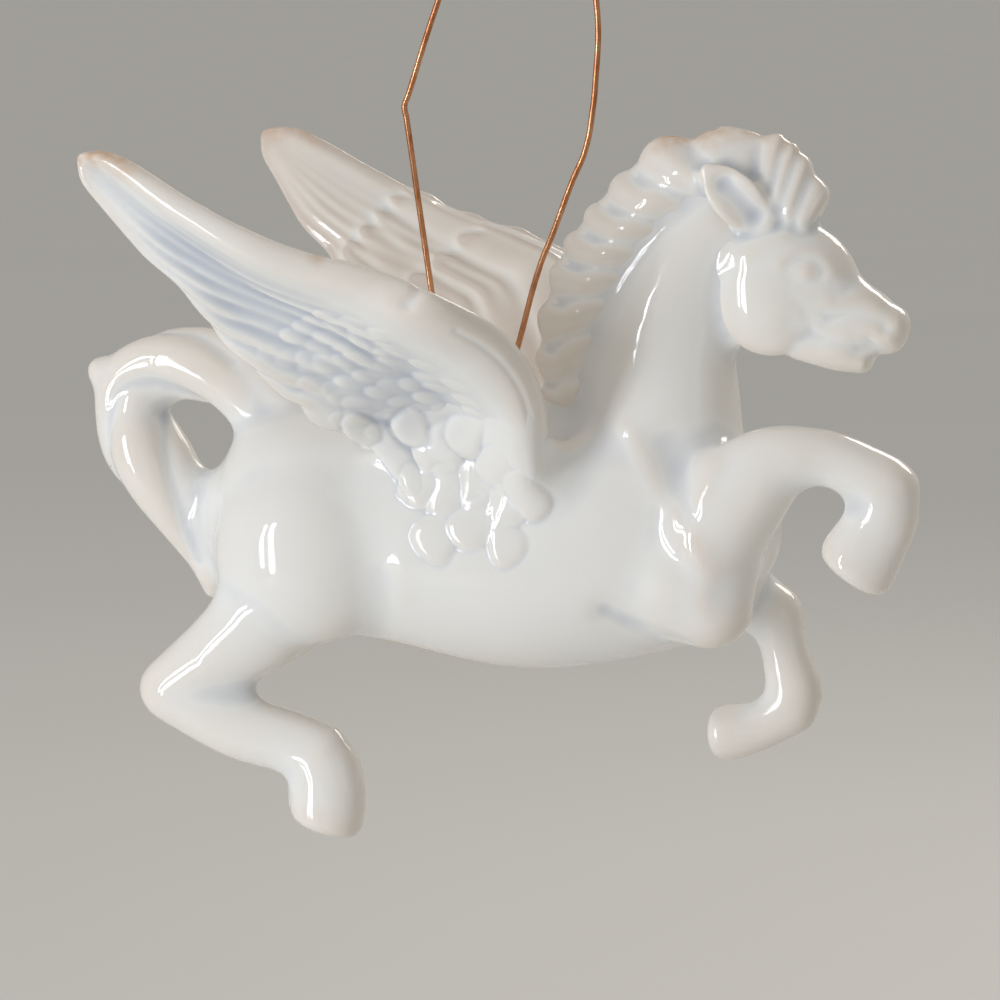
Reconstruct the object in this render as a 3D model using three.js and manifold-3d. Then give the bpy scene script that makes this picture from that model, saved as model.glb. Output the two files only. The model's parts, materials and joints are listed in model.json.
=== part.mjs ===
// A hanging porcelain winged horse: slip-cast parts luted together with slip, glazed white and hung on a
// loop of copper wire. Millimetres. +X is towards the head, +Y is the horse's left and +Z is up.
// The origin is where a hook bears, under the top of the wire loop.

import * as THREE from "three";
import { mergeVertices } from "three/addons/utils/BufferGeometryUtils.js";
import Module from "manifold-3d";

const wasm = await Module();
wasm.setup();

// Driving dimensions of the torso
const torsoLength = 97; // rump to breast
const barrelDepth = 40; // back to belly
const barrelWidth = 37;
const castWall = 2.4; // thickness that slip casting leaves
const slipJoint = 0.3; // line of slip between two luted castings
const drainLength = 22; // oval hole in the belly that the slip ran out of
const drainWidth = 13;
const drainFromRump = 38.5; // its middle

// Driving dimensions of the limbs
const wingReach = 70; // shoulder to wing tip, along the horse
const wingSplay = 26; // how far a wing tip stands out beyond its root
const wingRise = 49; // wing tip above its root
const wingRoll = 3.2; // height of the rounded leading edge
const wingDish = 1.9; // depth of the hollow field behind it
const wingBack = 2.3; // half thickness on the inner side
const wingRim = 0.9; // half thickness near the trailing edge
const legSpread = 2; // how far a hoof stands out beyond its hip or shoulder
const tailRadius = 6.4;
const maneThickness = 10; // half thickness at the root
const maneGroove = 1.3; // depth between two locks
const maneNotch = 0.16; // depth between two lobes, as a share of the crest's reach

// Driving dimensions of the hanger
const wireDiameter = 1.0;
const wireHoleDiameter = 3.2;
const wireHolePitch = 7.6; // the two holes lie along the back
const wireFootGap = 1.6; // between the two bent-in ends
const wireBend = 1.3; // radius of the bend at each foot
const wireFromRump = 44.6; // middle of the two holes, near the balance point
const loopTop = 98; // top of the loop above the horse's own datum
const loopX = 2;

// Datum lines in the horse's own frame, which the figure is drawn in
const rumpX = -49;
const backZ = 13;
const breastX = rumpX + torsoLength;
const bellyZ = backZ - barrelDepth;
const halfBarrel = barrelWidth / 2;
const wireHoleX = rumpX + wireFromRump;
const wireRadius = wireDiameter / 2;

const right = -1;
const left = 1;
const lateral = new THREE.Vector3(0, 1, 0);
const smooth = [false, "catmullrom", 0.5];
const weldDistance = 1e-4;

// Materials: white glaze and bare copper
const porcelain = new THREE.MeshStandardMaterial({ color: 0xe9e8e4, roughness: 0.12, metalness: 0 });
const copper = new THREE.MeshStandardMaterial({ color: 0xc98a5a, roughness: 0.35, metalness: 1 });

// A closed geometry as a solid that can be joined and cut, turned the right way out
function solidOf(geometry) {
  const bare = geometry.clone();
  bare.deleteAttribute("normal");
  bare.deleteAttribute("uv");
  const merged = mergeVertices(bare, weldDistance);
  const triVerts = new Uint32Array(merged.index.array);
  const vertProperties = merged.attributes.position.array;
  const made = new wasm.Manifold(new wasm.Mesh({ numProp: 3, vertProperties, triVerts }));
  if (made.volume() > 0) return made;
  for (let i = 0; i < triVerts.length; i += 3) {
    [triVerts[i + 1], triVerts[i + 2]] = [triVerts[i + 2], triVerts[i + 1]];
  }
  return new wasm.Manifold(new wasm.Mesh({ numProp: 3, vertProperties, triVerts }));
}

function geometryOf(solid) {
  const mesh = solid.getMesh();
  const geometry = new THREE.BufferGeometry();
  geometry.setAttribute("position", new THREE.BufferAttribute(mesh.vertProperties, 3));
  geometry.setIndex(new THREE.BufferAttribute(mesh.triVerts, 1));
  geometry.computeVertexNormals();
  return geometry;
}

const bothSides = (make) => [right, left].map(make);
const joined = (solids) => solids.reduce((whole, next) => whole.add(next));
const cutBy = (solid, cutters) => cutters.reduce((left, cutter) => left.subtract(cutter), solid);

// The main body of a cut casting, without the crumbs that a cut leaves
function largest(solid) {
  return solid.decompose().reduce((best, next) => (next.volume() > best.volume() ? next : best));
}

// One station of a loft: its centre and its half sizes. up and down lie in the plane of the spine, and side
// is across it. Where the spine runs forwards, up is upwards; where it runs down, up is forwards.
function station(x, y, z, up, down = up, side = up) {
  return { at: new THREE.Vector3(x, y, z), size: new THREE.Vector3(up, down, side) };
}

// A closed skin over rings of points, which ends in the middle of its end rings or in given tips
function skinGeometry(rings, tips = [rings[0], rings[rings.length - 1]].map(middleOf)) {
  const sides = rings[0].length;
  const points = [...rings.flat(), ...tips].flatMap((point) => point.toArray());
  const tip = rings.length * sides;
  const end = tip - sides;
  const faces = [];
  for (let k = 0; k < sides; k++) {
    const next = (k + 1) % sides;
    for (let a = 0; a < end; a += sides) {
      const b = a + sides;
      faces.push(a + k, a + next, b + next, a + k, b + next, b + k);
    }
    faces.push(next, k, tip, end + k, end + next, tip + 1);
  }
  const geometry = new THREE.BufferGeometry();
  geometry.setAttribute("position", new THREE.Float32BufferAttribute(points, 3));
  geometry.setIndex(faces);
  return geometry;
}

function middleOf(ring) {
  return ring.reduce((sum, point) => sum.add(point), new THREE.Vector3()).divideScalar(ring.length);
}

// The points of an oval ring about a spine: { at, along, size }
function ovalRing({ at, along, size }, sides) {
  const across = lateral.clone().addScaledVector(along, -lateral.dot(along)).normalize();
  const upward = along.clone().cross(across);
  return Array.from({ length: sides }, (_, k) => {
    const turn = (2 * Math.PI * k) / sides;
    const height = Math.sin(turn) * (Math.sin(turn) > 0 ? size.x : size.y);
    return at.clone().addScaledVector(across, Math.cos(turn) * size.z).addScaledVector(upward, height);
  });
}

// A loft through stations, with domed ends. facing keeps every ring square to one direction, and grow
// thickens it all round, for cutting a seat in a neighbour.
function loft(stations, options) {
  const { sides = 14, spanRings = 2, startDome = 0.8, endDome = 0.8, grow = 0, facing } = options;
  const spine = new THREE.CatmullRomCurve3(stations.map((s) => s.at), ...smooth);
  const sizes = new THREE.CatmullRomCurve3(stations.map((s) => s.size), ...smooth);
  const count = spanRings * (stations.length - 1);
  const rings = [];
  for (let i = 0; i <= count; i++) {
    const t = i / count;
    const size = sizes.getPoint(t).addScalar(grow);
    rings.push({ at: spine.getPoint(t), along: facing ?? spine.getTangent(t), size });
  }
  const capShares = [0.35, 0.7];
  const dome = (ring, bulge, sign) => {
    const reach = sign * (bulge * Math.min((ring.size.x + ring.size.y) / 2, ring.size.z) + grow);
    const tip = ring.at.clone().addScaledVector(ring.along, reach);
    const caps = capShares.map((share) => {
      const turn = (share * Math.PI) / 2;
      const at = ring.at.clone().addScaledVector(ring.along, reach * Math.sin(turn));
      return { at, along: ring.along, size: ring.size.clone().multiplyScalar(Math.cos(turn)) };
    });
    return { tip, caps };
  };
  const start = dome(rings[0], startDome, -1);
  const end = dome(rings[count], endDome, 1);
  const all = [...start.caps.reverse(), ...rings, ...end.caps].map((ring) => ovalRing(ring, sides));
  return solidOf(skinGeometry(all, [start.tip, end.tip]));
}

// A rounded lump of flesh or feather, turned about the lateral axis
function lump(x, y, z, radii, { pitch = 0, grow = 0, around = 10 } = {}) {
  const ball = new THREE.SphereGeometry(1, around, Math.ceil(around * 0.6));
  ball.scale(...radii.map((r) => r + grow));
  ball.rotateY(pitch).translate(x, y, z);
  return solidOf(ball);
}

// Torso: each station's top and bottom are set from the back and belly lines, its half width from the barrel
function torsoStations(inset) {
  const oval = (x, topDrop, bottomLift, narrowing) => {
    const top = backZ - topDrop - inset;
    const bottom = bellyZ + bottomLift + inset;
    const half = (top - bottom) / 2;
    return station(x, 0, (top + bottom) / 2, half, half, halfBarrel - narrowing - inset);
  };
  const middle = (rumpX + breastX) / 2;
  return [
    oval(rumpX + 1.5 + inset, 8, 14, 11),
    oval(rumpX + 7 + inset / 2, 0, 9, 5),
    oval(rumpX + 17, -2.5, 5, 1),
    oval(rumpX + 29, -1.5, 3.2, 1.5),
    oval(middle - 4.5, 0, 0.3, 0.5),
    oval(middle + 9.5, -0.5, -0.3, 0),
    oval(breastX - 25, -3, 2.2, 0.5),
    oval(breastX - 13, -2, 5.6, 2.5),
    oval(breastX - 6.3 - inset / 2, 4, 10, 6),
    oval(breastX - 3 - inset, 10, 17, 12),
  ];
}

const torsoEnds = { startDome: 0.4, endDome: 0.3, facing: new THREE.Vector3(1, 0, 0) };
const torsoForm = (grow = 0) => loft(torsoStations(0), { ...torsoEnds, sides: 16, grow });

// Height of the torso's top over a place along the back
function backHeight(x) {
  const stations = torsoStations(0);
  const spine = new THREE.CatmullRomCurve3(stations.map((s) => s.at), ...smooth);
  const sizes = new THREE.CatmullRomCurve3(stations.map((s) => s.size), ...smooth);
  const samples = 400;
  for (let i = 0; i <= samples; i++) {
    const at = spine.getPoint(i / samples);
    if (at.x >= x) return at.z + sizes.getPoint(i / samples).x;
  }
  return backZ;
}

const wireHoles = [wireHoleX + wireHolePitch / 2, wireHoleX - wireHolePitch / 2];
const footZ = Math.min(...wireHoles.map(backHeight)) - castWall - slipJoint - wireRadius;

function makeTorso() {
  const hollow = loft(torsoStations(castWall), { ...torsoEnds, sides: 16, spanRings: 1 });
  const bore = new THREE.CylinderGeometry(wireHoleDiameter / 2, wireHoleDiameter / 2, 4 * castWall, 12);
  bore.rotateX(Math.PI / 2);
  const bores = wireHoles.map((x) => solidOf(bore.clone().translate(x, 0, backHeight(x) - castWall / 2)));
  const drain = new THREE.CylinderGeometry(1, 1, 6 * castWall, 20).rotateX(Math.PI / 2);
  drain.scale(drainLength / 2, drainWidth / 2, 1).translate(rumpX + drainFromRump, 0, bellyZ);
  return cutBy(torsoForm(), [hollow, ...bores, solidOf(drain)]);
}

// Legs: thigh or forearm, cannon and hoof are joined at the bent hock, knee and fetlock
const hipX = rumpX + 17;
const hipY = halfBarrel - 8.5;
const shoulderX = breastX - 15;
const shoulderY = halfBarrel - 8.5;

// tuck draws the lower leg back and down, so the two hind legs aren't alike
function hindLeg(side, tuck, grow = 0) {
  const y = (share) => side * (hipY + share * legSpread);
  const at = (dx, dz, share, follow, ...size) =>
    station(hipX + dx - follow * tuck, y(share), backZ + dz - (follow * tuck) / 2, ...size);
  const thigh = lump(hipX + 2, y(0.3), backZ - 21.2, [15.8, 10.3, 15.6], { pitch: -0.2, grow, around: 12 });
  const gaskin = [
    at(-1, -25, 0.5, 0.2, 11, 11, 7.4),
    at(-6.4, -33.2, 0.7, 0.5, 8.8, 8.8, 6.8),
    at(-12, -38, 0.9, 0.7, 6.9, 6.9, 6.2),
    at(-21.5, -44.9, 1, 1, 5.3, 5.3, 5.1),
  ];
  const cannon = [
    at(-21.5, -45, 1, 1, 5.3, 5.3, 5.1),
    at(-9.9, -50.5, 1, 1, 5.5, 5.5, 4.8),
    at(0, -53.3, 1, 1, 5.5, 5, 4.5),
    at(5.2, -55.6, 1, 1, 6, 5.2, 5),
  ];
  const hoof = [
    at(5.1, -56, 1, 1, 6.3, 6, 5),
    at(6, -60.5, 1, 1, 6.6, 6.5, 5.2),
    at(5.8, -64, 1, 1, 6.6, 6.4, 5.6),
    at(5.2, -65.8, 1, 1, 6.4, 6, 5.5),
  ];
  return joined([
    thigh,
    loft(gaskin, { grow, sides: 10, endDome: 1 }),
    loft(cannon, { grow, sides: 8 }),
    loft(hoof, { grow, sides: 8, spanRings: 1, endDome: 0.3 }),
  ]);
}

// The right foreleg is flung up and forwards
function raisedForeleg(side, grow = 0) {
  const y = (share) => side * (shoulderY + share * legSpread);
  const at = (dx, dz, share, ...size) => station(shoulderX + dx, y(share), backZ + dz, ...size);
  const shoulder = lump(shoulderX + 1, y(0), backZ - 20.5, [12, 8, 13.5], { pitch: 0.25, grow, around: 10 });
  const forearm = [
    at(4.5, -17, 0.2, 11, 9, 8.5),
    at(11.3, -9.8, 0.6, 11, 6.4, 7.2),
    at(15.4, -5, 0.8, 7.6, 5.4, 6.2),
    at(19.8, -3, 1, 5.4, 4.8, 5.3),
    at(25.5, -3.1, 1, 4.4, 4.5, 4.6),
    at(33.4, -6.6, 1, 4.7, 5.2, 5),
  ];
  const cannon = [
    at(33.5, -6.6, 1, 5.4, 5, 5),
    at(33.4, -11.8, 1, 5.3, 5.3, 4.5),
    at(31.2, -15.6, 1, 6, 6.2, 4.8),
    at(28.8, -19.6, 1, 6.6, 6.6, 5.5),
    at(27.9, -20.9, 1, 6, 6, 5.4),
  ];
  const elbow = lump(shoulderX + 4.6, y(0), backZ - 27.6, [7.4, 6.6, 7], { grow, around: 12 });
  return joined([
    shoulder,
    elbow,
    loft(forearm, { grow, sides: 10 }),
    loft(cannon, { grow, sides: 8, endDome: 0.2 }),
  ]);
}

// The left foreleg hangs from the knee with the hoof folded back
function foldedForeleg(side, grow = 0) {
  const y = (share) => side * (shoulderY + share * legSpread);
  const at = (dx, dz, share, ...size) => station(shoulderX + dx, y(share), backZ + dz, ...size);
  const shoulderRadii = [10.5, 8, 13.5];
  const shoulder = lump(shoulderX - 0.5, y(0), backZ - 20.5, shoulderRadii, { pitch: 0.25, grow, around: 10 });
  const forearm = [
    at(1, -25, 0.2, 9, 9, 7.5),
    at(5.5, -28.8, 0.5, 6, 6, 6),
    at(10.3, -31.2, 1, 4.6, 4.6, 4.8),
  ];
  const cannon = [
    at(10.6, -31.3, 1, 4.7, 4.7, 4.8),
    at(12.2, -37, 1, 4, 4.1, 4.2),
    at(13.7, -43.3, 1, 4.7, 4.6, 4.4),
    at(14, -46.2, 1, 4.7, 4.7, 4.6),
  ];
  const hoof = [
    at(14, -47, 1, 4.6, 4.6, 4.5),
    at(8.5, -50.4, 1, 4.2, 4.1, 4.6),
    at(4, -51.7, 1, 4.8, 4.7, 5.3),
    at(1, -51.9, 1, 4.6, 4.4, 5.3),
  ];
  return joined([
    shoulder,
    loft(forearm, { grow, sides: 10 }),
    loft(cannon, { grow, sides: 8 }),
    loft(hoof, { grow, sides: 8, spanRings: 1, endDome: 0.3 }),
  ]);
}

// Neck and head are placed from the breast and the back line
const neckX = breastX - 21;

function neckForm(grow = 0) {
  const at = (dx, dz, crest, throat, side) => station(neckX + dx, 0, backZ + dz, crest, throat, side);
  const stations = [
    at(-1, -9, 13, 15.2, 14),
    at(-0.5, 2, 12.5, 14, 11.6),
    at(1, 15, 10.5, 11.5, 8.8),
    at(5, 26, 9, 9, 7.2),
    at(10, 33, 7, 7, 6.2),
  ];
  return loft(stations, { sides: 12, grow });
}

const pollX = neckX + 11.5;
const pollZ = backZ + 28;

function headForm(grow = 0) {
  const at = (dx, dz, up, down, side) => station(pollX + dx, 0, pollZ + dz, up, down, side);
  const skull = [
    at(0, 0, 7, 9, 6),
    at(6.5, -2.5, 9.6, 11.2, 7.4),
    at(12.5, -4.5, 9, 9.8, 7.2),
    at(18, -8, 6.1, 7.6, 5.7),
    at(23, -10.3, 4.9, 5.4, 4.9),
    at(26.4, -11.4, 3.8, 4, 4.5),
  ];
  const chin = [
    at(12, -12.6, 5.4, 4.1, 5),
    at(18, -14.9, 5, 3.3, 4.6),
    at(21.8, -16.2, 2.6, 2.3, 3.6),
  ];
  const cheek = (side) =>
    lump(pollX + 7, side * 3.6, pollZ - 7.2, [8.6, 4.8, 8.6], { grow, around: 9 });
  const eye = (side) =>
    lump(pollX + 12.6, side * 6.6, pollZ - 2.2, [2.1, 1.3, 1.6], { pitch: 0.3, grow, around: 8 });
  return joined([
    loft(skull, { sides: 12, endDome: 0.7, grow }),
    loft(chin, { sides: 8, endDome: 0.7, grow }),
    ...bothSides(cheek),
    ...bothSides(eye),
  ]);
}

function makeHead() {
  const nostril = (side) =>
    lump(pollX + 26, side * 4.8, pollZ - 10.6, [1.4, 1, 0.9], { pitch: 0.5, around: 8 });
  const mouth = lump(pollX + 25.2, 0, pollZ - 14.6, [3.2, 6, 0.6], { pitch: 0.5 });
  return largest(cutBy(headForm(), [...bothSides(nostril), mouth]));
}

function earForm(side, grow = 0) {
  const at = (dx, dy, dz, up, down, across) =>
    station(pollX + dx, side * dy, pollZ + dz, up, down, across);
  const leaf = [
    at(5.2, 5.2, 6.2, 2.1, 2.1, 2),
    at(2.1, 6.6, 9.4, 2.9, 2.9, 1.9),
    at(-1.2, 7.4, 12.4, 2.3, 2.3, 1.4),
    at(-3.2, 7.5, 14.2, 0.8, 0.8, 0.7),
  ];
  return loft(leaf, { sides: 8, spanRings: 1, grow });
}

function makeEar(side) {
  const hollow = lump(pollX + 1.5, side * 8.6, pollZ + 10.2, [4, 1.5, 1.7], { pitch: 0.76, around: 8 });
  return largest(cutBy(earForm(side), [hollow, headForm(slipJoint), neckForm(slipJoint)]));
}

// Mane and forelock: a crest of thick locks. It is one skin over sections that run from a root line inside
// the neck to an outer edge, and every lock ends in a rounded lobe there and leaves a ridge on both sides.
const maneRoots = [[-8, -3], [-7, 4], [-5.5, 12], [-2.5, 20], [2, 27.5], [7, 32], [12.5, 33.5]];
const maneEdges = [[-20, 3], [-21, 12], [-20, 20], [-16.4, 29.5], [-9, 38.8], [0, 47], [11.5, 49]];
const maneLocks = 9;
const forelockRoots = [[13.5, 33.5], [17.5, 33], [22.5, 30]];
const forelockEdges = [[12.5, 49], [21.5, 46.6], [28.2, 38]];
const forelockLocks = 4;
const lockSkew = 1.1; // how far along a lock's ridge drifts between the edge and the root

function lockCrest(roots, edges, locks, grow = 0) {
  const line = (shares) =>
    new THREE.CatmullRomCurve3(
      shares.map(([dx, dz]) => new THREE.Vector3(neckX + dx, 0, backZ + dz)),
      ...smooth,
    );
  const root = line(roots);
  const edge = line(edges);
  const rings = locks * 4;
  const sides = 10;
  const sections = [];
  for (let i = 0; i <= rings; i++) {
    const s = i / rings;
    const base = root.getPoint(s);
    const out = edge.getPoint(s).sub(base);
    const ends = Math.sqrt(Math.max(0, 1 - Math.abs(2 * s - 1) ** 10));
    const lobe = Math.sqrt(Math.abs(Math.sin(Math.PI * locks * s)));
    const ring = [];
    for (let k = 0; k < sides; k++) {
      const turn = (2 * Math.PI * k) / sides;
      const v = (1 - Math.cos(turn)) / 2;
      const ridge = Math.abs(Math.sin(Math.PI * (locks * s + lockSkew * (1 - v))));
      const reach = v * (1 - maneNotch * (1 - lobe) * v * v) * (0.9 + 0.1 * ends);
      const half = maneThickness * (1 - 0.6 * v) - maneGroove * (1 - ridge) * v;
      const bluntness = Math.sign(Math.sin(turn)) * Math.abs(Math.sin(turn)) ** 0.7;
      const point = base.clone().addScaledVector(out, reach);
      ring.push(point.addScaledVector(lateral, bluntness * (half * (0.4 + 0.6 * ends) + grow)));
    }
    sections.push(ring);
  }
  return solidOf(skinGeometry(sections));
}

// Wing: the leading edge bows over the shoulder and runs back to the tip; the feathers trail behind it.
// Each edge is a list of [along, out, up] shares of the wing's reach, splay and rise from its root.
const wingRootX = breastX - 35;
const wingRootY = halfBarrel - 1;
const wingRootZ = backZ - 3;
const leadingEdge = [
  [-0.05, -0.36, -0.28], [0, 0, 0], [0.005, 0.22, 0.22], [-0.04, 0.56, 0.41], [-0.15, 0.92, 0.54],
  [-0.28, 0.99, 0.62], [-0.435, 1.07, 0.675], [-0.56, 1.14, 0.74], [-0.71, 1.13, 0.845], [-0.87, 1.065, 0.97],
  [-0.975, 1.03, 1],
];
const trailingEdge = [
  [-0.24, -0.36, -0.36], [-0.3, -0.1, -0.24], [-0.42, 0, 0], [-0.525, 0.25, 0.085], [-0.57, 0.385, 0.185],
  [-0.635, 0.5, 0.265], [-0.705, 0.6, 0.39], [-0.77, 0.72, 0.52], [-0.875, 0.83, 0.68], [-0.965, 0.96, 0.845],
  [-1, 1.01, 0.945],
];
const rollPeak = 0.13; // where the leading edge is thickest, as a share of the chord
const rootSwell = 1.25; // thickness at the root, as a share of the sizes above
const tipThinning = 0.7; // how much of that is lost towards the tip
const backThinning = 0.65; // share of the inner half thickness that is lost towards the trailing edge
const tipBluntness = 14; // a higher power carries the thickness nearer to the tip
const rearBluntness = 8; // the same towards the trailing edge
const longFeathers = 6; // lie side by side behind the leading edge and run out along the trailing edge
const featherHeight = 1.5; // how far each one's hind edge stands up off the next
const featherField = 0.28; // where the first one starts, as a share of the chord
const featherSpan = [0.3, 0.4, 0.8, 0.92]; // where they rise, stand full, sink and end, to the wing tip
const featherTips = 8; // points along the trailing edge
const featherPoint = 1.6; // how far they stand out
const covertTiers = [0.53, 0.7]; // where each tier of short feathers on the inner face ends, to the wing tip
const covertHeight = 0.8;
const covertLobes = 5; // feathers across a tier
const covertLobe = 0.05; // how far their round ends reach, as a share of the way to the wing tip
const covertMargin = 0.12; // bare strip along both edges, as a share of the chord

function wingEdges(side) {
  const place = ([along, out, up]) =>
    new THREE.Vector3(
      wingRootX + along * wingReach,
      side * (wingRootY + out * wingSplay),
      wingRootZ + up * wingRise,
    );
  const edge = (shares) => new THREE.CatmullRomCurve3(shares.map(place), ...smooth);
  return { front: edge(leadingEdge), back: edge(trailingEdge) };
}

// Heights of the wing's outer and inner faces off its chord, at a share u of the way to the tip and v of
// the chord
function wingFaces(u, v) {
  const tip = Math.sqrt(1 - u ** tipBluntness);
  const taper = tip * (rootSwell - tipThinning * u);
  const blunt = Math.sqrt(1 - v ** rearBluntness);
  const rim = wingRim * tip * Math.sqrt(v) * blunt;
  const fromPeak = v / rollPeak;
  const roll = wingRoll * taper * Math.sqrt(fromPeak) * Math.exp((1 - fromPeak ** 2) / 4);
  const behind = Math.max(0, (v - featherField) / (1 - featherField));
  const dish = wingDish * (1 - u ** 3) * Math.sin(Math.PI * behind) ** 2;
  const back = wingBack * taper * Math.sqrt(Math.min(1, v / rollPeak)) * (1 - backThinning * v) * blunt;
  return { outer: roll + rim - dish, inner: -back - rim - dish / 2 };
}

// Long feathers overlap on the outer face like shingles, and two tiers of short ones cover the inner face
function featherRelief(u, v) {
  const { smoothstep } = THREE.MathUtils;
  const [rise, full, sink, end] = featherSpan;
  const shown = smoothstep(u, rise, full) * (1 - smoothstep(u, sink, end));
  const feather = longFeathers * Math.max(0, (v - featherField) / (1 - featherField));
  const outer = featherHeight * (feather % 1) * shown * Math.sqrt(1 - v ** rearBluntness);
  const lobe = Math.abs(Math.sin(Math.PI * covertLobes * v));
  const tiers = covertTiers.filter((reach) => u < reach + covertLobe * Math.sqrt(lobe)).length;
  const inside = smoothstep(v, 0, covertMargin) * (1 - smoothstep(v, 1 - covertMargin, 1));
  const point = featherPoint * (((u * featherTips) % 1) - 0.5) * shown * v ** 4;
  return { outer, inner: covertHeight * tiers * inside, point };
}

// The wing is a skin over sections from the root to the tip: a rounded leading edge, then a dished field with
// two points on each long feather, the trailing edge, and the inner face back to the front
function wingPlate(side) {
  const { front, back } = wingEdges(side);
  const featherShare = (k, share) => featherField + ((k + share) / longFeathers) * (1 - featherField);
  const onRoll = [0, 0.03, 0.09, 0.16, 0.23];
  const featherPair = (_, k) => [featherShare(k, 0.08), featherShare(k, 0.92)];
  const onFeathers = Array.from({ length: longFeathers }, featherPair);
  const onBack = [0.9, 0.74, 0.56, 0.38, 0.22, 0.1, 0.03];
  const places = [
    ...[...onRoll, ...onFeathers.flat(), 1].map((v) => ({ v, face: "outer" })),
    ...onBack.map((v) => ({ v, face: "inner" })),
  ];
  const rings = 27;
  const lastShare = 0.99; // the tip ends blunt
  const sections = Array.from({ length: rings + 1 }, (_, i) => {
    const u = (lastShare * i) / rings;
    const lead = front.getPoint(u);
    const chord = back.getPoint(u).sub(lead);
    const along = front.getTangent(u).add(back.getTangent(u));
    const outward = chord.clone().cross(along).normalize();
    outward.multiplyScalar(Math.sign(outward.y * side));
    return places.map(({ v, face }) => {
      const relief = featherRelief(u, v);
      const height = wingFaces(u, v)[face] + (face === "outer" ? relief.outer : -relief.inner);
      const point = lead.clone().addScaledVector(chord, v + relief.point / chord.length());
      return point.addScaledVector(outward, height);
    });
  });
  return solidOf(skinGeometry(sections));
}

// Short round feathers that cover the wing's root, row below row
function rootFeathers(side) {
  const rows = [
    { count: 3, from: [-31, 1.3], to: [-14, 2.2], size: 4 },
    { count: 4, from: [-21.5, -4.6], to: [-4.4, -3.6], size: 3.6 },
    { count: 3, from: [-17.5, -10.4], to: [-5, -8.2], size: 3.5 },
    { count: 2, from: [-13.5, -14.2], to: [-7, -13.2], size: 3.2 },
  ];
  const padY = side * (wingRootY - 3.6);
  const pad = lump(wingRootX - 16.5, padY, wingRootZ - 7.5, [16, 5.3, 13], { pitch: 0.25, around: 12 });
  const scales = rows.flatMap(({ count, from, to, size }) =>
    Array.from({ length: count }, (_, i) => {
      const share = i / (count - 1);
      const x = wingRootX + THREE.MathUtils.lerp(from[0], to[0], share);
      const z = wingRootZ + THREE.MathUtils.lerp(from[1], to[1], share);
      return lump(x, side * (wingRootY + 1.6), z, [size, 2.2, size * 0.85], { pitch: 0.5, around: 7 });
    }),
  );
  return joined([pad, ...scales]);
}

function makeWing(side, cutters) {
  return largest(cutBy(joined([wingPlate(side), rootFeathers(side)]), cutters));
}

// Tail: strands twist round an arch that rises from the croup and comes down on the buttock
const tailStrands = 3;
const tailTwist = 5; // radians from root to tip
const strandOffset = 0.3; // a strand's middle from the arch's spine, as a share of the girth
const strandRadius = 0.72; // also a share of the girth

function makeTail(cutters) {
  const arch = [
    [11.5, -1, 1.05], [4.5, 5.3, 1.05], [-2, 7.7, 1.02], [-9, 8, 0.95], [-14.8, 4.6, 0.93], [-15.3, -1, 0.95],
    [-13.5, -6, 1.12], [-10, -11, 1.08], [-5.5, -17.5, 0.85], [-2, -24.5, 0.55], [-0.5, -31, 0.3],
  ];
  const spine = new THREE.CatmullRomCurve3(
    arch.map(([dx, dz]) => new THREE.Vector3(rumpX + dx, 0, backZ + dz)),
    ...smooth,
  );
  const girth = new THREE.CatmullRomCurve3(
    arch.map(([, , share]) => new THREE.Vector3(share * tailRadius, 0, 0)),
    ...smooth,
  );
  const rings = 18;
  const strands = Array.from({ length: tailStrands }, (_, k) => {
    const stations = Array.from({ length: rings }, (_, i) => {
      const t = i / (rings - 1);
      const along = spine.getTangent(t);
      const upward = along.clone().cross(lateral);
      const turn = (2 * Math.PI * k) / tailStrands + tailTwist * t;
      const radius = girth.getPoint(t).x;
      const at = spine.getPoint(t).addScaledVector(upward, strandOffset * radius * Math.sin(turn));
      at.addScaledVector(lateral, strandOffset * radius * Math.cos(turn));
      return { at, along, size: new THREE.Vector3().setScalar(strandRadius * radius) };
    });
    return solidOf(skinGeometry(stations.map((ring) => ovalRing(ring, 6))));
  });
  const curl = lump(rumpX - 19, 0, backZ + 5.8, [4.4, 3.4, 3.2], { pitch: 0.35 });
  return largest(cutBy(joined([...strands, curl]), cutters));
}

// Wire: one length whose bent-in ends hook under the bridge between the two holes. The route lies in the
// horse's middle plane, as [x, z], from the front foot up over the top of the loop and down to the rear foot.
const [frontHole, rearHole] = wireHoles;
const cornerCut = 0.3; // where the wire passes inside its corner, as a share of the bend's radius
const frontFoot = [
  [wireHoleX + wireFootGap / 2, footZ],
  [frontHole - wireBend, footZ],
  [frontHole - wireBend * cornerCut, footZ + wireBend * cornerCut],
  [frontHole, footZ + wireBend],
];
const rearFoot = frontFoot.map(([x, z]) => [2 * wireHoleX - x, z]).reverse();
const frontStrand = [
  [frontHole + 0.3, footZ + 4], [3.1, 25.6], [6.8, 38.7], [8.8, 43.6], [12.2, 52.5], [14.3, 57.4],
  [15.6, 64.5], [15.9, 67.5], [16.2, 80], [14.4, 88], [9.5, 95],
];
const rearStrand = [
  [-3.4, 93.4], [-8.4, 86], [-11.4, 78.5], [-15.6, 65.8], [-16.2, 64.2], [-15.9, 62.4],
  [-13.6, 47], [-11.6, 33.7], [rearHole - 0.4, footZ + 4],
];
const loop = [[loopX + 2.8, loopTop - 0.6], [loopX, loopTop], [loopX - 2.8, loopTop - 0.7]];
const wireRoute = [...frontFoot, ...frontStrand, ...loop, ...rearStrand, ...rearFoot];

function makeWire() {
  const path = new THREE.CatmullRomCurve3(
    wireRoute.map(([x, z]) => new THREE.Vector3(x, 0, z)),
    false,
    "centripetal",
  );
  const section = new THREE.Shape().absarc(0, 0, wireRadius, 0, 2 * Math.PI);
  const tube = new THREE.ExtrudeGeometry(section, { extrudePath: path, steps: 66, curveSegments: 4 });
  return solidOf(tube);
}

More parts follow.
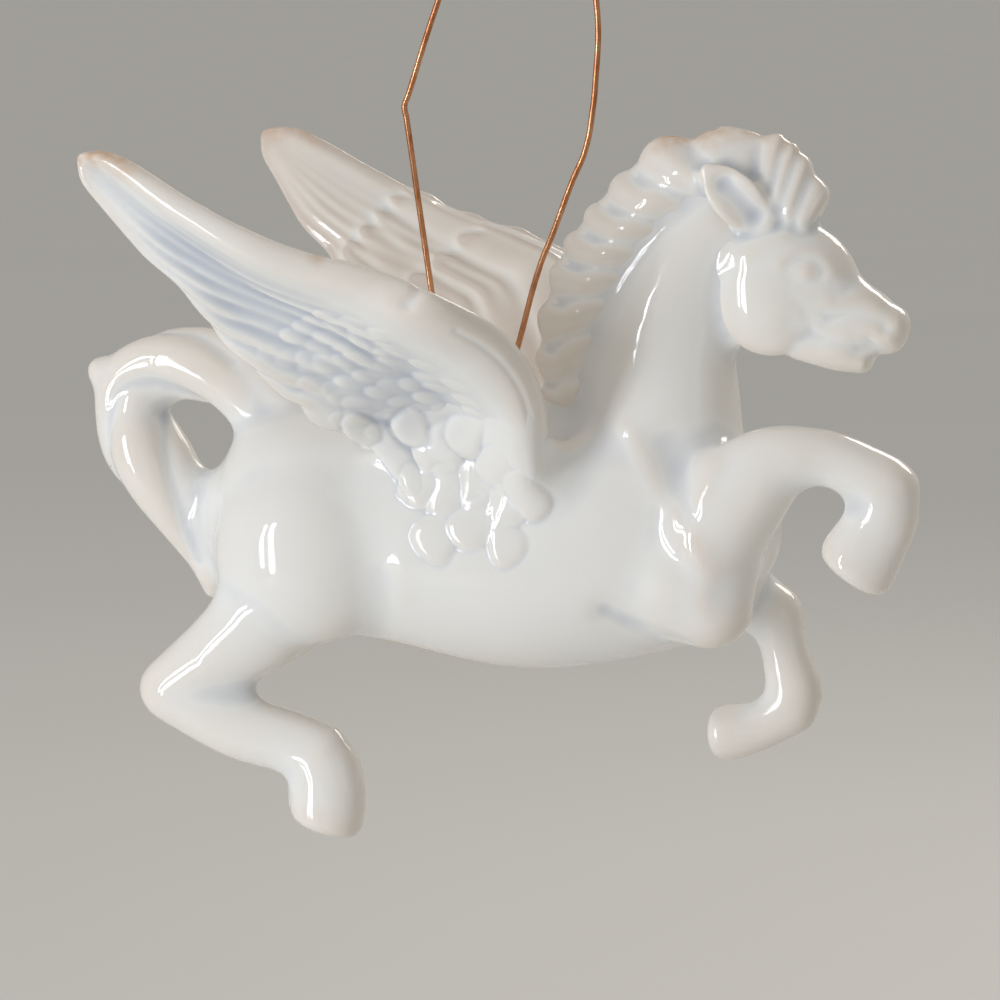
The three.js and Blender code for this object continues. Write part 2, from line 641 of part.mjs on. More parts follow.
// Assembly: every casting is cut back from the ones that it is luted to
const torsoSeat = torsoForm(slipJoint);
const headSeat = headForm(slipJoint);
const neckSeat = neckForm(slipJoint);
const hindTuck = 8.5; // of the left hind leg
const foreSeats = [raisedForeleg(right, slipJoint), foldedForeleg(left, slipJoint)];
const hindSeats = [hindLeg(right, 0, slipJoint), hindLeg(left, hindTuck, slipJoint)];
const earSeats = bothSides((side) => earForm(side, slipJoint));
const crownSeats = [torsoSeat, neckSeat, headSeat, ...earSeats];
const maneSeat = lockCrest(maneRoots, maneEdges, maneLocks, slipJoint);

const castings = {
  torso: makeTorso(),
  neck: largest(cutBy(neckForm(), [torsoSeat, headSeat, ...foreSeats])),
  head: makeHead(),
  right_ear: makeEar(right),
  left_ear: makeEar(left),
  mane: largest(cutBy(lockCrest(maneRoots, maneEdges, maneLocks), crownSeats)),
  forelock: largest(cutBy(lockCrest(forelockRoots, forelockEdges, forelockLocks), [...crownSeats, maneSeat])),
  right_wing: makeWing(right, [torsoSeat, neckSeat, ...foreSeats]),
  left_wing: makeWing(left, [torsoSeat, neckSeat, ...foreSeats]),
  right_foreleg: largest(cutBy(raisedForeleg(right), [torsoSeat])),
  left_foreleg: largest(cutBy(foldedForeleg(left), [torsoSeat])),
  right_hind_leg: largest(cutBy(hindLeg(right, 0), [torsoSeat])),
  left_hind_leg: largest(cutBy(hindLeg(left, hindTuck), [torsoSeat])),
  tail: makeTail([torsoSeat, ...hindSeats]),
};

const figure = new THREE.Group();
figure.position.set(-loopX, 0, -(loopTop - wireRadius));
for (const [name, solid] of Object.entries(castings)) {
  const mesh = new THREE.Mesh(geometryOf(solid), porcelain.clone());
  mesh.name = name;
  figure.add(mesh);
}
const wire = new THREE.Mesh(geometryOf(makeWire()), copper);
wire.name = "hanging_wire";
figure.add(wire);

const pegasus = new THREE.Group();
pegasus.add(figure);

export default pegasus;
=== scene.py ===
import json
import math
import bpy
import numpy as np
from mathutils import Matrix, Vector


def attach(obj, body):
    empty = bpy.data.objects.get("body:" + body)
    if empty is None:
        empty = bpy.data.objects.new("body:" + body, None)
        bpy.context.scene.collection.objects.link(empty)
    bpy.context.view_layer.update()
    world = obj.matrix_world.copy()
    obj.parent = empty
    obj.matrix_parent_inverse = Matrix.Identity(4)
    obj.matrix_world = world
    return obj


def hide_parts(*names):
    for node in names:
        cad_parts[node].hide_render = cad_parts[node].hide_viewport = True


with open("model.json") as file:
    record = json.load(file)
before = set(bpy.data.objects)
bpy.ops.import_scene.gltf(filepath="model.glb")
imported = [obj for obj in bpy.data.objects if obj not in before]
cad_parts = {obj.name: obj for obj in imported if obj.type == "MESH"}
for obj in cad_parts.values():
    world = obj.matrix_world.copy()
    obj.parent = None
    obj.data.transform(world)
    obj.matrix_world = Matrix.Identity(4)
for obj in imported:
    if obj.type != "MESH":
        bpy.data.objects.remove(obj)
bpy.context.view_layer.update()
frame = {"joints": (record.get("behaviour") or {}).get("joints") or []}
mm = 0.001
figureDatum = np.array([-2.0, 0.0, -97.5])  # the horse's own datum, below the hook that carries the loop
forwards = (1, 0, 0)
lateral = np.array([0.0, 1.0, 0.0])
right, left = -1, 1
bothSides = (right, left)

# Camera: the photograph's angle, on a square image
cameraSet = {
    "azimuth": 16, "elevation": 7.5, "distance": 700, "farClip": 100,
    "pixelsPerMm": 6.1, "imagePixels": 1000, "sensor": 36,
}


def makeCamera():
    turn, rise = math.radians(cameraSet["azimuth"]), math.radians(cameraSet["elevation"])
    back = Vector((math.sin(turn) * math.cos(rise), -math.cos(turn) * math.cos(rise), math.sin(rise)))
    lookAt = Vector(figureDatum) * mm
    bpy.ops.object.camera_add(location=lookAt + back * cameraSet["distance"] * mm)
    camera = bpy.context.object
    camera.rotation_euler = (-back).to_track_quat("-Z", "Y").to_euler()
    camera.data.sensor_width = cameraSet["sensor"]
    focalPixels = cameraSet["pixelsPerMm"] * cameraSet["distance"]
    camera.data.lens = focalPixels / cameraSet["imagePixels"] * cameraSet["sensor"]
    camera.data.clip_end = cameraSet["farClip"]
    bpy.context.scene.camera = camera
    print("camera set")


makeCamera()

# Hanging wire: one length, whose bent-in feet hook under the bridge between the two holes in the back
sway = frame["joints"][0]
footX, footZ = sway["pos_m"][0] / mm, sway["pos_m"][2] / mm
wireSet = {
    "diameter": 1.0, "holePitch": 7.6, "footGap": 1.6, "bend": 1.3, "cornerCut": 0.3,
    "strandRise": 4, "frontLean": 0.3, "rearLean": 0.4,
}
frontHole, rearHole = footX + wireSet["holePitch"] / 2, footX - wireSet["holePitch"] / 2
strandZ = footZ + wireSet["strandRise"]


def wireRoute():
    bend, cut = wireSet["bend"], wireSet["bend"] * wireSet["cornerCut"]
    frontFoot = [
        (footX + wireSet["footGap"] / 2, footZ), (frontHole - bend, footZ),
        (frontHole - cut, footZ + cut), (frontHole, footZ + bend),
    ]
    frontStrand = [
        (frontHole + wireSet["frontLean"], strandZ), (1.1, -71.9), (4.8, -58.8), (6.8, -53.9), (10.2, -45),
        (12.3, -40.1), (13.6, -33), (13.9, -30), (14.2, -17.5), (12.4, -9.5), (7.5, -2.5),
    ]
    loop = [(2.8, -0.1), (0, 0.5), (-2.8, -0.2)]
    rearStrand = [
        (-5.4, -4.1), (-10.4, -11.5), (-13.4, -19), (-17.6, -31.7), (-18.2, -33.3), (-17.9, -35.1),
        (-15.6, -50.5), (-13.6, -63.8), (rearHole - wireSet["rearLean"], strandZ),
    ]
    rearFoot = [(2 * footX - x, z) for x, z in reversed(frontFoot)]
    return [(x * mm, 0, z * mm) for x, z in frontFoot + frontStrand + loop + rearStrand + rearFoot]


def makeWire():
    route = wireRoute()
    curve = bpy.data.curves.new("hangingWire", "CURVE")
    curve.dimensions = "3D"
    spline = curve.splines.new("BEZIER")
    spline.bezier_points.add(len(route) - 1)
    for point, place in zip(spline.bezier_points, route):
        point.co = place
        point.handle_left_type = point.handle_right_type = "AUTO"
        point.radius = wireSet["diameter"] / 2 * mm
    curve.resolution_u = 12
    curve.bevel_depth = 1  # times each point's radius
    curve.bevel_resolution = 4
    curve.use_fill_caps = True
    wire = bpy.data.objects.new("hangingWire", curve)
    bpy.context.collection.objects.link(wire)
    bpy.context.view_layer.update()
    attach(wire, "hanger")
    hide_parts("hanging_wire")
    return wire


hangingWire = makeWire()


# Modelling helpers: every form starts as a ball, whose points are then put where they belong
def throughPoints(points, t):
    points = np.asarray(points, float)
    padded = np.vstack([2 * points[0] - points[1], points, 2 * points[-1] - points[-2]])
    place = np.clip(np.asarray(t, float), 0, 1) * (len(points) - 1)
    i = np.minimum(place.astype(int), len(points) - 2)
    w = (place - i)[:, None]
    a, b, c, d = (padded[i + k] for k in range(4))
    return b + 0.5 * w * ((c - a) + w * ((2 * a - 5 * b + 4 * c - d) + w * (3 * b - a - 3 * c + d)))


def unitRows(rows):
    return rows / np.maximum(np.linalg.norm(rows, axis=1, keepdims=True), 1e-12)


def smoothStep(low, high, x):
    t = np.clip((x - low) / (high - low), 0, 1)
    return t * t * (3 - 2 * t)


def readRows(rows, field):
    flat = np.empty(len(rows) * 3)
    rows.foreach_get(field, flat)
    return flat.reshape(-1, 3)


def readPoints(obj):
    return readRows(obj.data.vertices, "co")


def figurePoints(obj):
    return readPoints(obj) / mm - figureDatum


def writePoints(obj, points):
    obj.data.vertices.foreach_set("co", ((points + figureDatum) * mm).ravel())
    obj.data.update()


def vertexNormals(obj):
    return readRows(obj.data.vertex_normals, "vector")


# A ball, with each point's share of the way from pole to pole and its turn round the axis
def newBall(segments, rings):
    bpy.ops.object.select_all(action="DESELECT")
    bpy.ops.mesh.primitive_uv_sphere_add(segments=segments, ring_count=rings, radius=1)
    ball = bpy.context.object
    unit = readPoints(ball)
    share = np.arccos(np.clip(-unit[:, 2], -1, 1)) / np.pi
    turn = np.arctan2(unit[:, 1], unit[:, 0])
    turn[np.hypot(unit[:, 0], unit[:, 1]) < 1e-6] = np.pi / 2
    return ball, share, turn


domeShare = 0.12  # part of a ball's rings that goes to each end dome of a loft


def newLoft(stations, domes=(0.8, 0.8), facing=None, segments=64, rings=96):
    ball, share, turn = newBall(segments, rings)
    stations = np.asarray(stations, float)
    t = np.clip((share - domeShare) / (1 - 2 * domeShare), 0, 1)
    centre = throughPoints(stations[:, :3], t)
    size = throughPoints(stations[:, 3:], t)
    if facing is None:
        near = 1e-3
        along = unitRows(throughPoints(stations[:, :3], t + near) - throughPoints(stations[:, :3], t - near))
    else:
        along = np.tile(np.asarray(facing, float), (len(t), 1))
    endCap = np.clip((share - 1 + domeShare) / domeShare, 0, 1)
    cap = np.maximum(np.clip(1 - share / domeShare, 0, 1), endCap) * np.pi / 2
    bulge = np.minimum((size[:, 0] + size[:, 1]) / 2, size[:, 2])
    reach = np.where(endCap > 0, domes[1], -domes[0]) * bulge * np.sin(cap)
    across = unitRows(lateral - along * along[:, 1:2])
    upward = np.cross(along, across)
    high = np.sin(turn) * np.where(np.sin(turn) > 0, size[:, 0], size[:, 1]) * np.cos(cap)
    wide = np.cos(turn) * size[:, 2] * np.cos(cap)
    writePoints(ball, centre + along * reach[:, None] + across * wide[:, None] + upward * high[:, None])
    return ball


def newLump(centre, radii, pitch=0.0):
    ball, _, _ = newBall(segments=40, rings=20)
    points = readPoints(ball) * np.asarray(radii, float)
    c, s = math.cos(pitch), math.sin(pitch)
    axes = np.array([[c, 0, -s], [0, 1, 0], [s, 0, c]])
    writePoints(ball, np.asarray(centre, float) + points @ axes)
    return ball


def pickOnly(*chosen):
    bpy.ops.object.select_all(action="DESELECT")
    for obj in chosen:
        obj.select_set(True)
    bpy.context.view_layer.objects.active = chosen[0]


def finishWith(obj, kind, **settings):
    pickOnly(obj)
    modifier = obj.modifiers.new(kind.lower(), kind)
    for key, value in settings.items():
        setattr(modifier, key, value)
    bpy.ops.object.modifier_apply(modifier=modifier.name)


def smoothOver(obj, passes):
    finishWith(obj, "SMOOTH", factor=0.5, iterations=passes)


def joinUp(name, parts):
    pickOnly(*parts)
    whole = parts[0]
    if len(parts) > 1:
        bpy.ops.object.join()
    whole.name = name
    whole.data.name = name
    return whole


# Slip and glaze: the forms are fused, a ball of the fillet's radius is rolled into every corner,
# and the whole is smoothed
def fuse(whole, settings):
    remesh = {"mode": "VOXEL", "voxel_size": settings["voxel"] * mm}
    fillet = settings["fillet"] * mm
    finishWith(whole, "REMESH", **remesh)
    for push, passes in ((fillet, 3), (-fillet, settings["smoothing"])):
        finishWith(whole, "DISPLACE", direction="NORMAL", mid_level=0, strength=push)
        finishWith(whole, "REMESH", **remesh)
        smoothOver(whole, passes)
    bpy.ops.object.shade_smooth()
    return whole


# Modelling strokes: each raises or sinks the surface along a line, in (height, width, points).
# A line of x, z points is drawn on both flanks, or on the sides named; one of x, y, z points lies in space.
strokeSet = {"reach": 2.5, "stepsPerPoint": 6, "flankFacing": (0.05, 0.45), "flankFrom": 1}


# How strongly each place feels a line of points: 1 on it, falling away over the width
def strokeWeight(place, width, line):
    line = np.asarray(line, float).reshape(len(line), -1)
    if len(line) > 2:
        line = throughPoints(line, np.linspace(0, 1, strokeSet["stepsPerPoint"] * len(line)))
    reach = strokeSet["reach"] * width
    near = np.all((place > line.min(0) - reach) & (place < line.max(0) + reach), axis=1)
    spots = place[near]
    best = np.full(len(spots), np.inf)
    for a, b in zip(line, line[1:] if len(line) > 1 else line):
        run = b - a
        t = np.clip((spots - a) @ run / max(run @ run, 1e-9), 0, 1)
        best = np.minimum(best, ((spots - a - t[:, None] * run) ** 2).sum(1))
    weight = np.zeros(len(place))
    weight[near] = np.exp(-best / width ** 2)
    return weight


def flankWeight(points, normals, sides):
    weight = 0
    for side in sides:
        facing = smoothStep(*strokeSet["flankFacing"], side * normals[:, 1])
        weight = weight + facing * (side * points[:, 1] > strokeSet["flankFrom"])
    return weight


def sculpt(obj, strokes, sides=bothSides):
    points, normals = figurePoints(obj), vertexNormals(obj)
    flank = flankWeight(points, normals, sides)
    shift = np.zeros(len(points))
    for height, width, line in strokes:
        if len(line[0]) == 2:
            shift += height * flank * strokeWeight(points[:, [0, 2]], width, line)
        else:
            shift += height * strokeWeight(points, width, line)
    writePoints(obj, points + normals * shift[:, None])


# Splits the faces of both flanks between two corners, for finer modelling there
def refine(obj, low, high):
    points = figurePoints(obj)
    points[:, 1] = np.abs(points[:, 1])
    inside = np.all((points > low) & (points < high), axis=1)
    for kind in (obj.data.polygons, obj.data.edges):
        kind.foreach_set("select", np.zeros(len(kind), bool))
    obj.data.vertices.foreach_set("select", inside)
    pickOnly(obj)
    bpy.ops.object.mode_set(mode="EDIT")
    bpy.ops.mesh.select_mode(type="VERT")
    bpy.ops.mesh.subdivide(number_cuts=1, smoothness=0.6)
    bpy.ops.object.mode_set(mode="OBJECT")


# Torso: each station is x, the heights of the back and the belly, and the half width.
# The drain's mouth is its heights with the flare there, and the bores are the two holes for the wire.
torsoSet = {
    "stations": [
        (-47.5, 5, -13, 7.5), (-42, 13, -18, 13.5), (-32, 15.5, -22, 17.5), (-20, 14.5, -23.8, 17),
        (-5, 13, -26.7, 18), (9, 13.5, -27.3, 18.5), (23, 16, -24.8, 18), (35, 15, -21.4, 16),
        (41.7, 9, -17, 12.5), (45, 3, -10, 6.5),
    ],
    "domes": (0.4, 0.3), "castWall": 2.4,
    "drainX": -10.5, "drainLength": 22, "drainWidth": 13,
    "drainMouth": [(-32, 2.5), (-27.6, 1.4), (-25.8, 0.4), (-24.4, 0), (-15, 0)],
    "holeDiameter": 3.2, "boreHeights": (7, 10, 14, 17), "creaseAngle": 50,
}


def torsoStations(inset=0.0):
    rows = []
    last = len(torsoSet["stations"]) - 1
    for i, (x, top, bottom, side) in enumerate(torsoSet["stations"]):
        endShift = inset * {0: 1, 1: 0.5, last - 1: -0.5, last: -1}.get(i, 0)
        half = (top - bottom) / 2 - inset
        rows.append((x + endShift, 0, (top + bottom) / 2, half, half, side - inset))
    return rows


def makeTorso():
    return newLoft(torsoStations(), torsoSet["domes"], forwards, segments=96, rings=160)


# Legs: each form has its two end domes, then its stations, whose last three numbers are the half sizes
# forwards, backwards and across
def makeLeg(forms, placeOf):
    lofts = []
    for domes, rows in forms.values():
        lofts.append(newLoft([(*placeOf(*row[:-3]), *row[-3:]) for row in rows], domes))
    return lofts


# Hind legs: a place is x and z from the hip, and its shares of the spread and of the tuck
hindSet = {
    "hipX": -32, "hipY": 10, "spread": 2, "backZ": 13, "leftTuck": 8.5,
    "thigh": (2, -21.2, 0.3, 0), "thighRadii": (15.8, 10.3, 15.6), "thighPitch": -0.2,
    "forms": {
        "gaskin": ((0.8, 1), [
            (-1, -25, 0.5, 0.2, 11, 11, 7.4), (-6.4, -33.2, 0.7, 0.5, 8.8, 8.8, 6.8),
            (-12, -38, 0.9, 0.7, 6.9, 6.9, 6.2), (-21.5, -44.9, 1, 1, 5.3, 5.3, 5.1),
        ]),
        "cannon": ((0.8, 0.8), [
            (-21.5, -45, 1, 1, 5.3, 5.3, 5.1), (-9.9, -50.5, 1, 1, 5.5, 5.5, 4.8),
            (0, -53.3, 1, 1, 5.5, 5, 4.5), (5.2, -55.6, 1, 1, 6, 5.2, 5),
        ]),
        "hoof": ((0.8, 0.3), [
            (5.1, -56, 1, 1, 6.3, 6, 5), (6, -60.5, 1, 1, 6.6, 6.5, 5.2),
            (5.8, -64, 1, 1, 6.6, 6.4, 5.6), (5.2, -65.8, 1, 1, 6.4, 6, 5.5),
        ]),
    },
}


def hindPlace(side, tuck, dx, dz, share, follow):
    y = side * (hindSet["hipY"] + share * hindSet["spread"])
    return hindSet["hipX"] + dx - follow * tuck, y, hindSet["backZ"] + dz - follow * tuck / 2


def makeThigh(side):
    return newLump(hindPlace(side, 0, *hindSet["thigh"]), hindSet["thighRadii"], hindSet["thighPitch"])


def makeHindLeg(side, tuck):
    return makeLeg(hindSet["forms"], lambda *place: hindPlace(side, tuck, *place))


# Forelegs: a place is x and z from the shoulder, and its share of the spread
foreSet = {
    "shoulderX": 33, "shoulderY": 10, "spread": 2, "backZ": 13,
    "muscles": {
        "raised": [((1, -20.5, 0), (12, 8, 13.5), 0.25), ((4.6, -27.6, 0), (7.4, 6.6, 7), 0.0)],
        "folded": [((-0.5, -20.5, 0), (10.5, 8, 13.5), 0.25)],
    },
    "raised": {
        "forearm": ((0.8, 0.8), [
            (4.5, -17, 0.2, 11, 9, 8.5), (11.3, -9.8, 0.6, 11, 6.4, 7.2), (15.4, -5, 0.8, 7.6, 5.4, 6.2),
            (19.8, -3, 1, 5.4, 4.8, 5.3), (25.5, -3.1, 1, 4.4, 4.5, 4.6), (33.4, -6.6, 1, 4.7, 5.2, 5),
        ]),
        "cannonAndHoof": ((0.8, 0.2), [
            (33.5, -6.6, 1, 5.4, 5, 5), (33.4, -11.8, 1, 5.3, 5.3, 4.5), (31.2, -15.6, 1, 6, 6.2, 4.8),
            (28.8, -19.6, 1, 6.6, 6.6, 5.5), (27.9, -20.9, 1, 6, 6, 5.4),
        ]),
    },
    "folded": {
        "forearm": ((0.8, 0.8), [
            (1, -25, 0.2, 9, 9, 7.5), (5.5, -28.8, 0.5, 6, 6, 6), (10.3, -31.2, 1, 4.6, 4.6, 4.8),
        ]),
        "cannon": ((0.8, 0.8), [
            (10.6, -31.3, 1, 4.7, 4.7, 4.8), (12.2, -37, 1, 4, 4.1, 4.2),
            (13.7, -43.3, 1, 4.7, 4.6, 4.4), (14, -46.2, 1, 4.7, 4.7, 4.6),
        ]),
        "hoof": ((0.8, 0.3), [
            (14, -47, 1, 4.6, 4.6, 4.5), (8.5, -50.4, 1, 4.2, 4.1, 4.6),
            (4, -51.7, 1, 4.8, 4.7, 5.3), (1, -51.9, 1, 4.6, 4.4, 5.3),
        ]),
    },
}


def forePlace(side, dx, dz, share):
    y = side * (foreSet["shoulderY"] + share * foreSet["spread"])
    return foreSet["shoulderX"] + dx, y, foreSet["backZ"] + dz


def makeShoulder(side, lift):
    return [newLump(forePlace(side, *place), *shape) for place, *shape in foreSet["muscles"][lift]]


def makeForeleg(side, lift):
    return makeLeg(foreSet[lift], lambda *place: forePlace(side, *place))


# Neck: half sizes are towards the crest, towards the throat, and across
neckSet = {
    "stations": [
        (26, 0, 4, 13, 15.2, 14), (26.5, 0, 15, 12.5, 14, 11.6), (28, 0, 28, 10.5, 11.5, 8.8),
        (32, 0, 39, 9, 9, 7.2), (37, 0, 46, 7, 7, 6.2),
    ],
}


def makeNeck():
    return newLoft(neckSet["stations"])


# Tail: strands twist round an arch that rises from the croup and comes down on the buttock.
# Each point of the arch is x, z and the share of the radius there.
tailSet = {
    "arch": [
        (-37.5, 12, 1.05), (-44.5, 18.3, 1.05), (-51, 20.7, 1.02), (-58, 21, 0.95), (-63.8, 17.6, 0.93),
        (-64.3, 12, 0.95), (-62.5, 7, 1.12), (-59, 2, 1.08), (-54.5, -4.5, 0.85), (-51, -11.5, 0.55),
        (-49.5, -18, 0.3),
    ],
    "radius": 6.4, "strands": 3, "twist": 5.0, "offset": 0.3, "strandRadius": 0.72, "steps": 40,
    "curl": ((-68, 0, 18.8), (4.4, 3.4, 3.2), 0.35),
    "groove": (-0.6, 1.3), "grooveSpan": (0.12, 0.9, 30),
}


# The line of a strand, or of the groove halfway to the next one, at a share of the tail's radius
def tailLine(k, t, reach):
    arch = np.array(tailSet["arch"])
    spine = throughPoints(np.column_stack([arch[:, 0], np.zeros(len(arch)), arch[:, 1]]), t)
    girth = throughPoints(arch[:, 2:] * tailSet["radius"], t)
    along = unitRows(np.gradient(spine, axis=0))
    upward = np.cross(along, np.tile(lateral, (len(t), 1)))
    turn = (2 * np.pi * k / tailSet["strands"] + tailSet["twist"] * t)[:, None]
    return spine + reach * girth * (upward * np.sin(turn) + lateral * np.cos(turn)), girth


def makeTail():
    t = np.linspace(0, 1, tailSet["steps"])
    forms = []
    for k in range(tailSet["strands"]):
        places, girth = tailLine(k, t, tailSet["offset"])
        radius = np.repeat(girth * tailSet["strandRadius"], 3, axis=1)
        forms.append(newLoft(np.hstack([places, radius]), (0.5, 0.5), segments=40, rings=160))
    return [*forms, newLump(*tailSet["curl"])]


def tailGrooves():
    t = np.linspace(*tailSet["grooveSpan"])
    return [(*tailSet["groove"], tailLine(k + 0.5, t, 1)[0]) for k in range(tailSet["strands"])]


# The edge of the eyelids, as a closed line of points
def oval(centre, length, height, pitch, count=12):
    turn = np.linspace(0, 2 * np.pi, count + 1)
    x, z = length * np.cos(turn), height * np.sin(turn)
    c, s = math.cos(pitch), math.sin(pitch)
    return [(centre[0] + a * c - b * s, centre[1] + a * s + b * c) for a, b in zip(x, z)]


# Head: half sizes of the stations are upwards, downwards and across
headSet = {
    "voxel": 0.3, "fillet": 1.0, "smoothing": 4, "domes": (0.8, 0.7),
    "skull": [
        (38.5, 0, 41, 7, 9, 6), (45, 0, 38.5, 9.6, 11.2, 7.4), (51, 0, 36.5, 9, 9.8, 7.2),
        (56.5, 0, 33, 6.1, 7.6, 5.7), (61.5, 0, 30.7, 4.9, 5.4, 4.9), (64.9, 0, 29.6, 3.8, 4, 4.5),
    ],
    "chin": [(50.5, 0, 28.4, 5.4, 4.1, 5), (56.5, 0, 26.1, 5, 3.3, 4.6), (60.3, 0, 24.8, 2.6, 2.3, 3.6)],
    "cheek": ((45.8, 3.0, 35.6), (9.5, 4.7, 10.4)),
    "strokes": [
        (-0.5, 4.4, [(52.8, 38.6)]),  # eye socket
        (0.5, 1.7, [(52.3, 39.2)]),  # eyeball
        (-0.09, 0.8, oval((52.1, 39.2), 2.9, 1.9, -0.15)),  # lids
        (0.22, 1.1, [(48.2, 40.6), (50.2, 42.2), (52.3, 42.4), (54.6, 41.2), (56, 39)]),  # brow
        (0.3, 1.9, [(42.6, 41.5), (44.6, 43.4), (47.8, 44.6)]),  # temple
        (-0.3, 1.6, [(57, 35.4), (58.2, 36.1)]),  # hollow below the eye
        (-0.35, 1.5, [(55.6, 31.8), (57.6, 32.4), (59.7, 32.5), (62.7, 31.9), (65.3, 30.6)]),  # muzzle
        (0.3, 1.7, [(56.5, 34.6), (59.6, 35), (63, 34)]),  # nose bone
        (-0.4, 1.2, [(64.7, 29.8), (66, 29.2)]),  # nostril
        (-0.42, 1.1, [(64.8, 26.6), (63.4, 27.2), (62.1, 27.9)]),  # mouth
        (0.45, 1.8, [(53.4, 29.2), (55.5, 28.8), (58, 28.3)]),  # corner of the lips
        (-0.3, 1.8, [(50, 30.4), (53.8, 28)]),  # hollow before the jaw
    ],
}


def makeHeadForms(inset=0.0):
    def shrunk(stations):
        return [(*row[:3], *(size - inset for size in row[3:])) for row in stations]
    (x, y, z), radii = headSet["cheek"]
    cheeks = [newLump((x, side * y, z), [r - inset for r in radii]) for side in bothSides]
    skull = newLoft(shrunk(headSet["skull"]), headSet["domes"])
    chin = newLoft(shrunk(headSet["chin"]), headSet["domes"])
    return [skull, chin, *cheeks]


# Mane and forelock: a crest of thick locks from a root line in the neck to an outer edge of rounded lobes
maneSet = {
    "wander": 0.3, "rootThin": 0.5, "segments": 96, "ringsPerLock": 24,
    "mane": {
        "roots": [(19, 10), (20, 17), (21.5, 25), (24.5, 33), (29, 40.5), (34, 45), (41, 46.5)],
        "edges": [(7, 16), (6, 25), (7, 33), (10.6, 42.5), (18, 51.8), (27, 60), (40.5, 62)],
        "locks": 9, "thickness": 8.4, "beat": 1.0, "groove": 1.7, "skew": -2.5, "notch": 0.13,
    },
    "forelock": {
        "roots": [(36, 44), (42.5, 42.5), (48.5, 40)],
        "edges": [(35, 62), (47.5, 60), (55.2, 51)],
        "locks": 5, "thickness": 6.8, "beat": 1.3, "groove": 1.2, "skew": -1.2, "notch": 0.07,
    },
}


def makeLocks(name, inset=0.0):
    crest = maneSet[name]
    locks = crest["locks"]
    ball, s, turn = newBall(maneSet["segments"], locks * maneSet["ringsPerLock"])
    flat = [np.array([(x, 0, z) for x, z in crest[key]], float) for key in ("roots", "edges")]
    base = throughPoints(flat[0], s)
    out = throughPoints(flat[1], s) - base
    v = (1 - np.cos(turn)) / 2  # from the root line to the outer edge
    ends = np.sqrt(np.maximum(0, 1 - np.abs(2 * s - 1) ** 10))
    beat = locks * s ** crest["beat"] + maneSet["wander"] * np.sin(10 * s + 0.6) * ends
    lobe = np.abs(np.sin(np.pi * beat)) ** 0.8
    flow = beat + crest["skew"] * (1 - 0.5 * s) * (1 - v) ** 1.7  # the locks lean over towards their roots
    ridge = 0.75 * np.abs(np.sin(np.pi * flow)) + 0.25 * np.abs(np.sin(2 * np.pi * flow + 0.8))
    reach = v * (1 - crest["notch"] * (1 - lobe) * v * v) * (0.9 + 0.1 * ends)
    thin = maneSet["rootThin"]
    half = crest["thickness"] * (1 - 0.5 * v) * (thin + (1 - thin) * smoothStep(0, 0.6, v))
    half -= crest["groove"] * (1 - ridge) * np.sqrt(v) * ends
    blunt = np.sign(np.sin(turn)) * np.abs(np.sin(turn)) ** 0.7
    wide = blunt * np.maximum(half * (0.4 + 0.6 * ends) - inset, 0.2)
    writePoints(ball, base + out * reach[:, None] + lateral * wide[:, None])
    return ball


# Wings: leading and trailing edge as shares of the reach, splay and rise from the root.
# On a wing, u runs from the root to the tip and v from the leading to the trailing edge.
wingSet = {
    "voxel": 0.3, "fillet": 0.5, "smoothing": 2, "segments": 192, "rings": 288,
    "root": (13, 17.5, 10), "reach": 70, "splay": 26, "rise": 49,
    "leading": [
        (-0.05, -0.36, -0.28), (0, 0, 0), (0.005, 0.22, 0.22), (-0.04, 0.56, 0.41), (-0.15, 0.92, 0.54),
        (-0.28, 0.99, 0.62), (-0.435, 1.07, 0.675), (-0.56, 1.14, 0.74), (-0.71, 1.13, 0.845),
        (-0.87, 1.065, 0.97), (-0.975, 1.03, 1.0),
    ],
    "trailing": [
        (-0.24, -0.36, -0.36), (-0.3, -0.1, -0.24), (-0.42, 0, 0), (-0.525, 0.25, 0.085),
        (-0.57, 0.385, 0.185), (-0.635, 0.5, 0.265), (-0.705, 0.6, 0.39), (-0.77, 0.72, 0.52),
        (-0.875, 0.83, 0.68), (-0.965, 0.96, 0.845), (-1, 1.01, 0.945),
    ],
    "rollHeight": 3.2, "rollPeak": 0.13, "backHalf": 2.1, "edgeHalf": 0.75, "dish": 2.3,
    "leastFront": 0.6, "leastBack": 0.7, "tipClose": 0.06,
    "fieldStart": 0.28, "ridges": 7, "sweep": 0.8, "ridgeHeight": 1.45, "innerRidge": 0.6,
    "ridgeFrom": (0.3, 0.42), "ridgeTo": (0.74, 0.96),
    "tipStep": 1.2, "stepFrom": (0.28, 0.4), "stepTo": (0.8, 0.95),
    "layers": [(0.53, 5, 1.2), (0.7, 5, 1.1)], "layerLobe": 0.045, "layerEdge": 0.012,
    "coreReach": 0.44, "coreProud": 0.35, "coreSunk": 1.6, "coreFade": (0.15, 0.28), "coreTrail": 0.12,
    "coreInset": 0.16, "coreInsetFade": (0.06, 0.2),
    "notch": (-0.45, 1.2), "notchU": 0.435, "notchV": (0.0, 0.02, 0.05),
    "hump": (0.8, 2.6), "humpU": (0.52, 0.6, 0.7), "humpV": 0.01,
    "rim": (-0.2, 0.6), "rimU": (0.14, 0.36, 8), "rimV": 0.06,
}


def wingEdges(side, u):
    root = np.array(wingSet["root"], float)
    scale = np.array([wingSet["reach"], wingSet["splay"], wingSet["rise"]], float)
    flip = np.array([1, side, 1])
    edges = (np.array(wingSet[key]) for key in ("leading", "trailing"))
    return [throughPoints((root + edge * scale) * flip, u) for edge in edges]


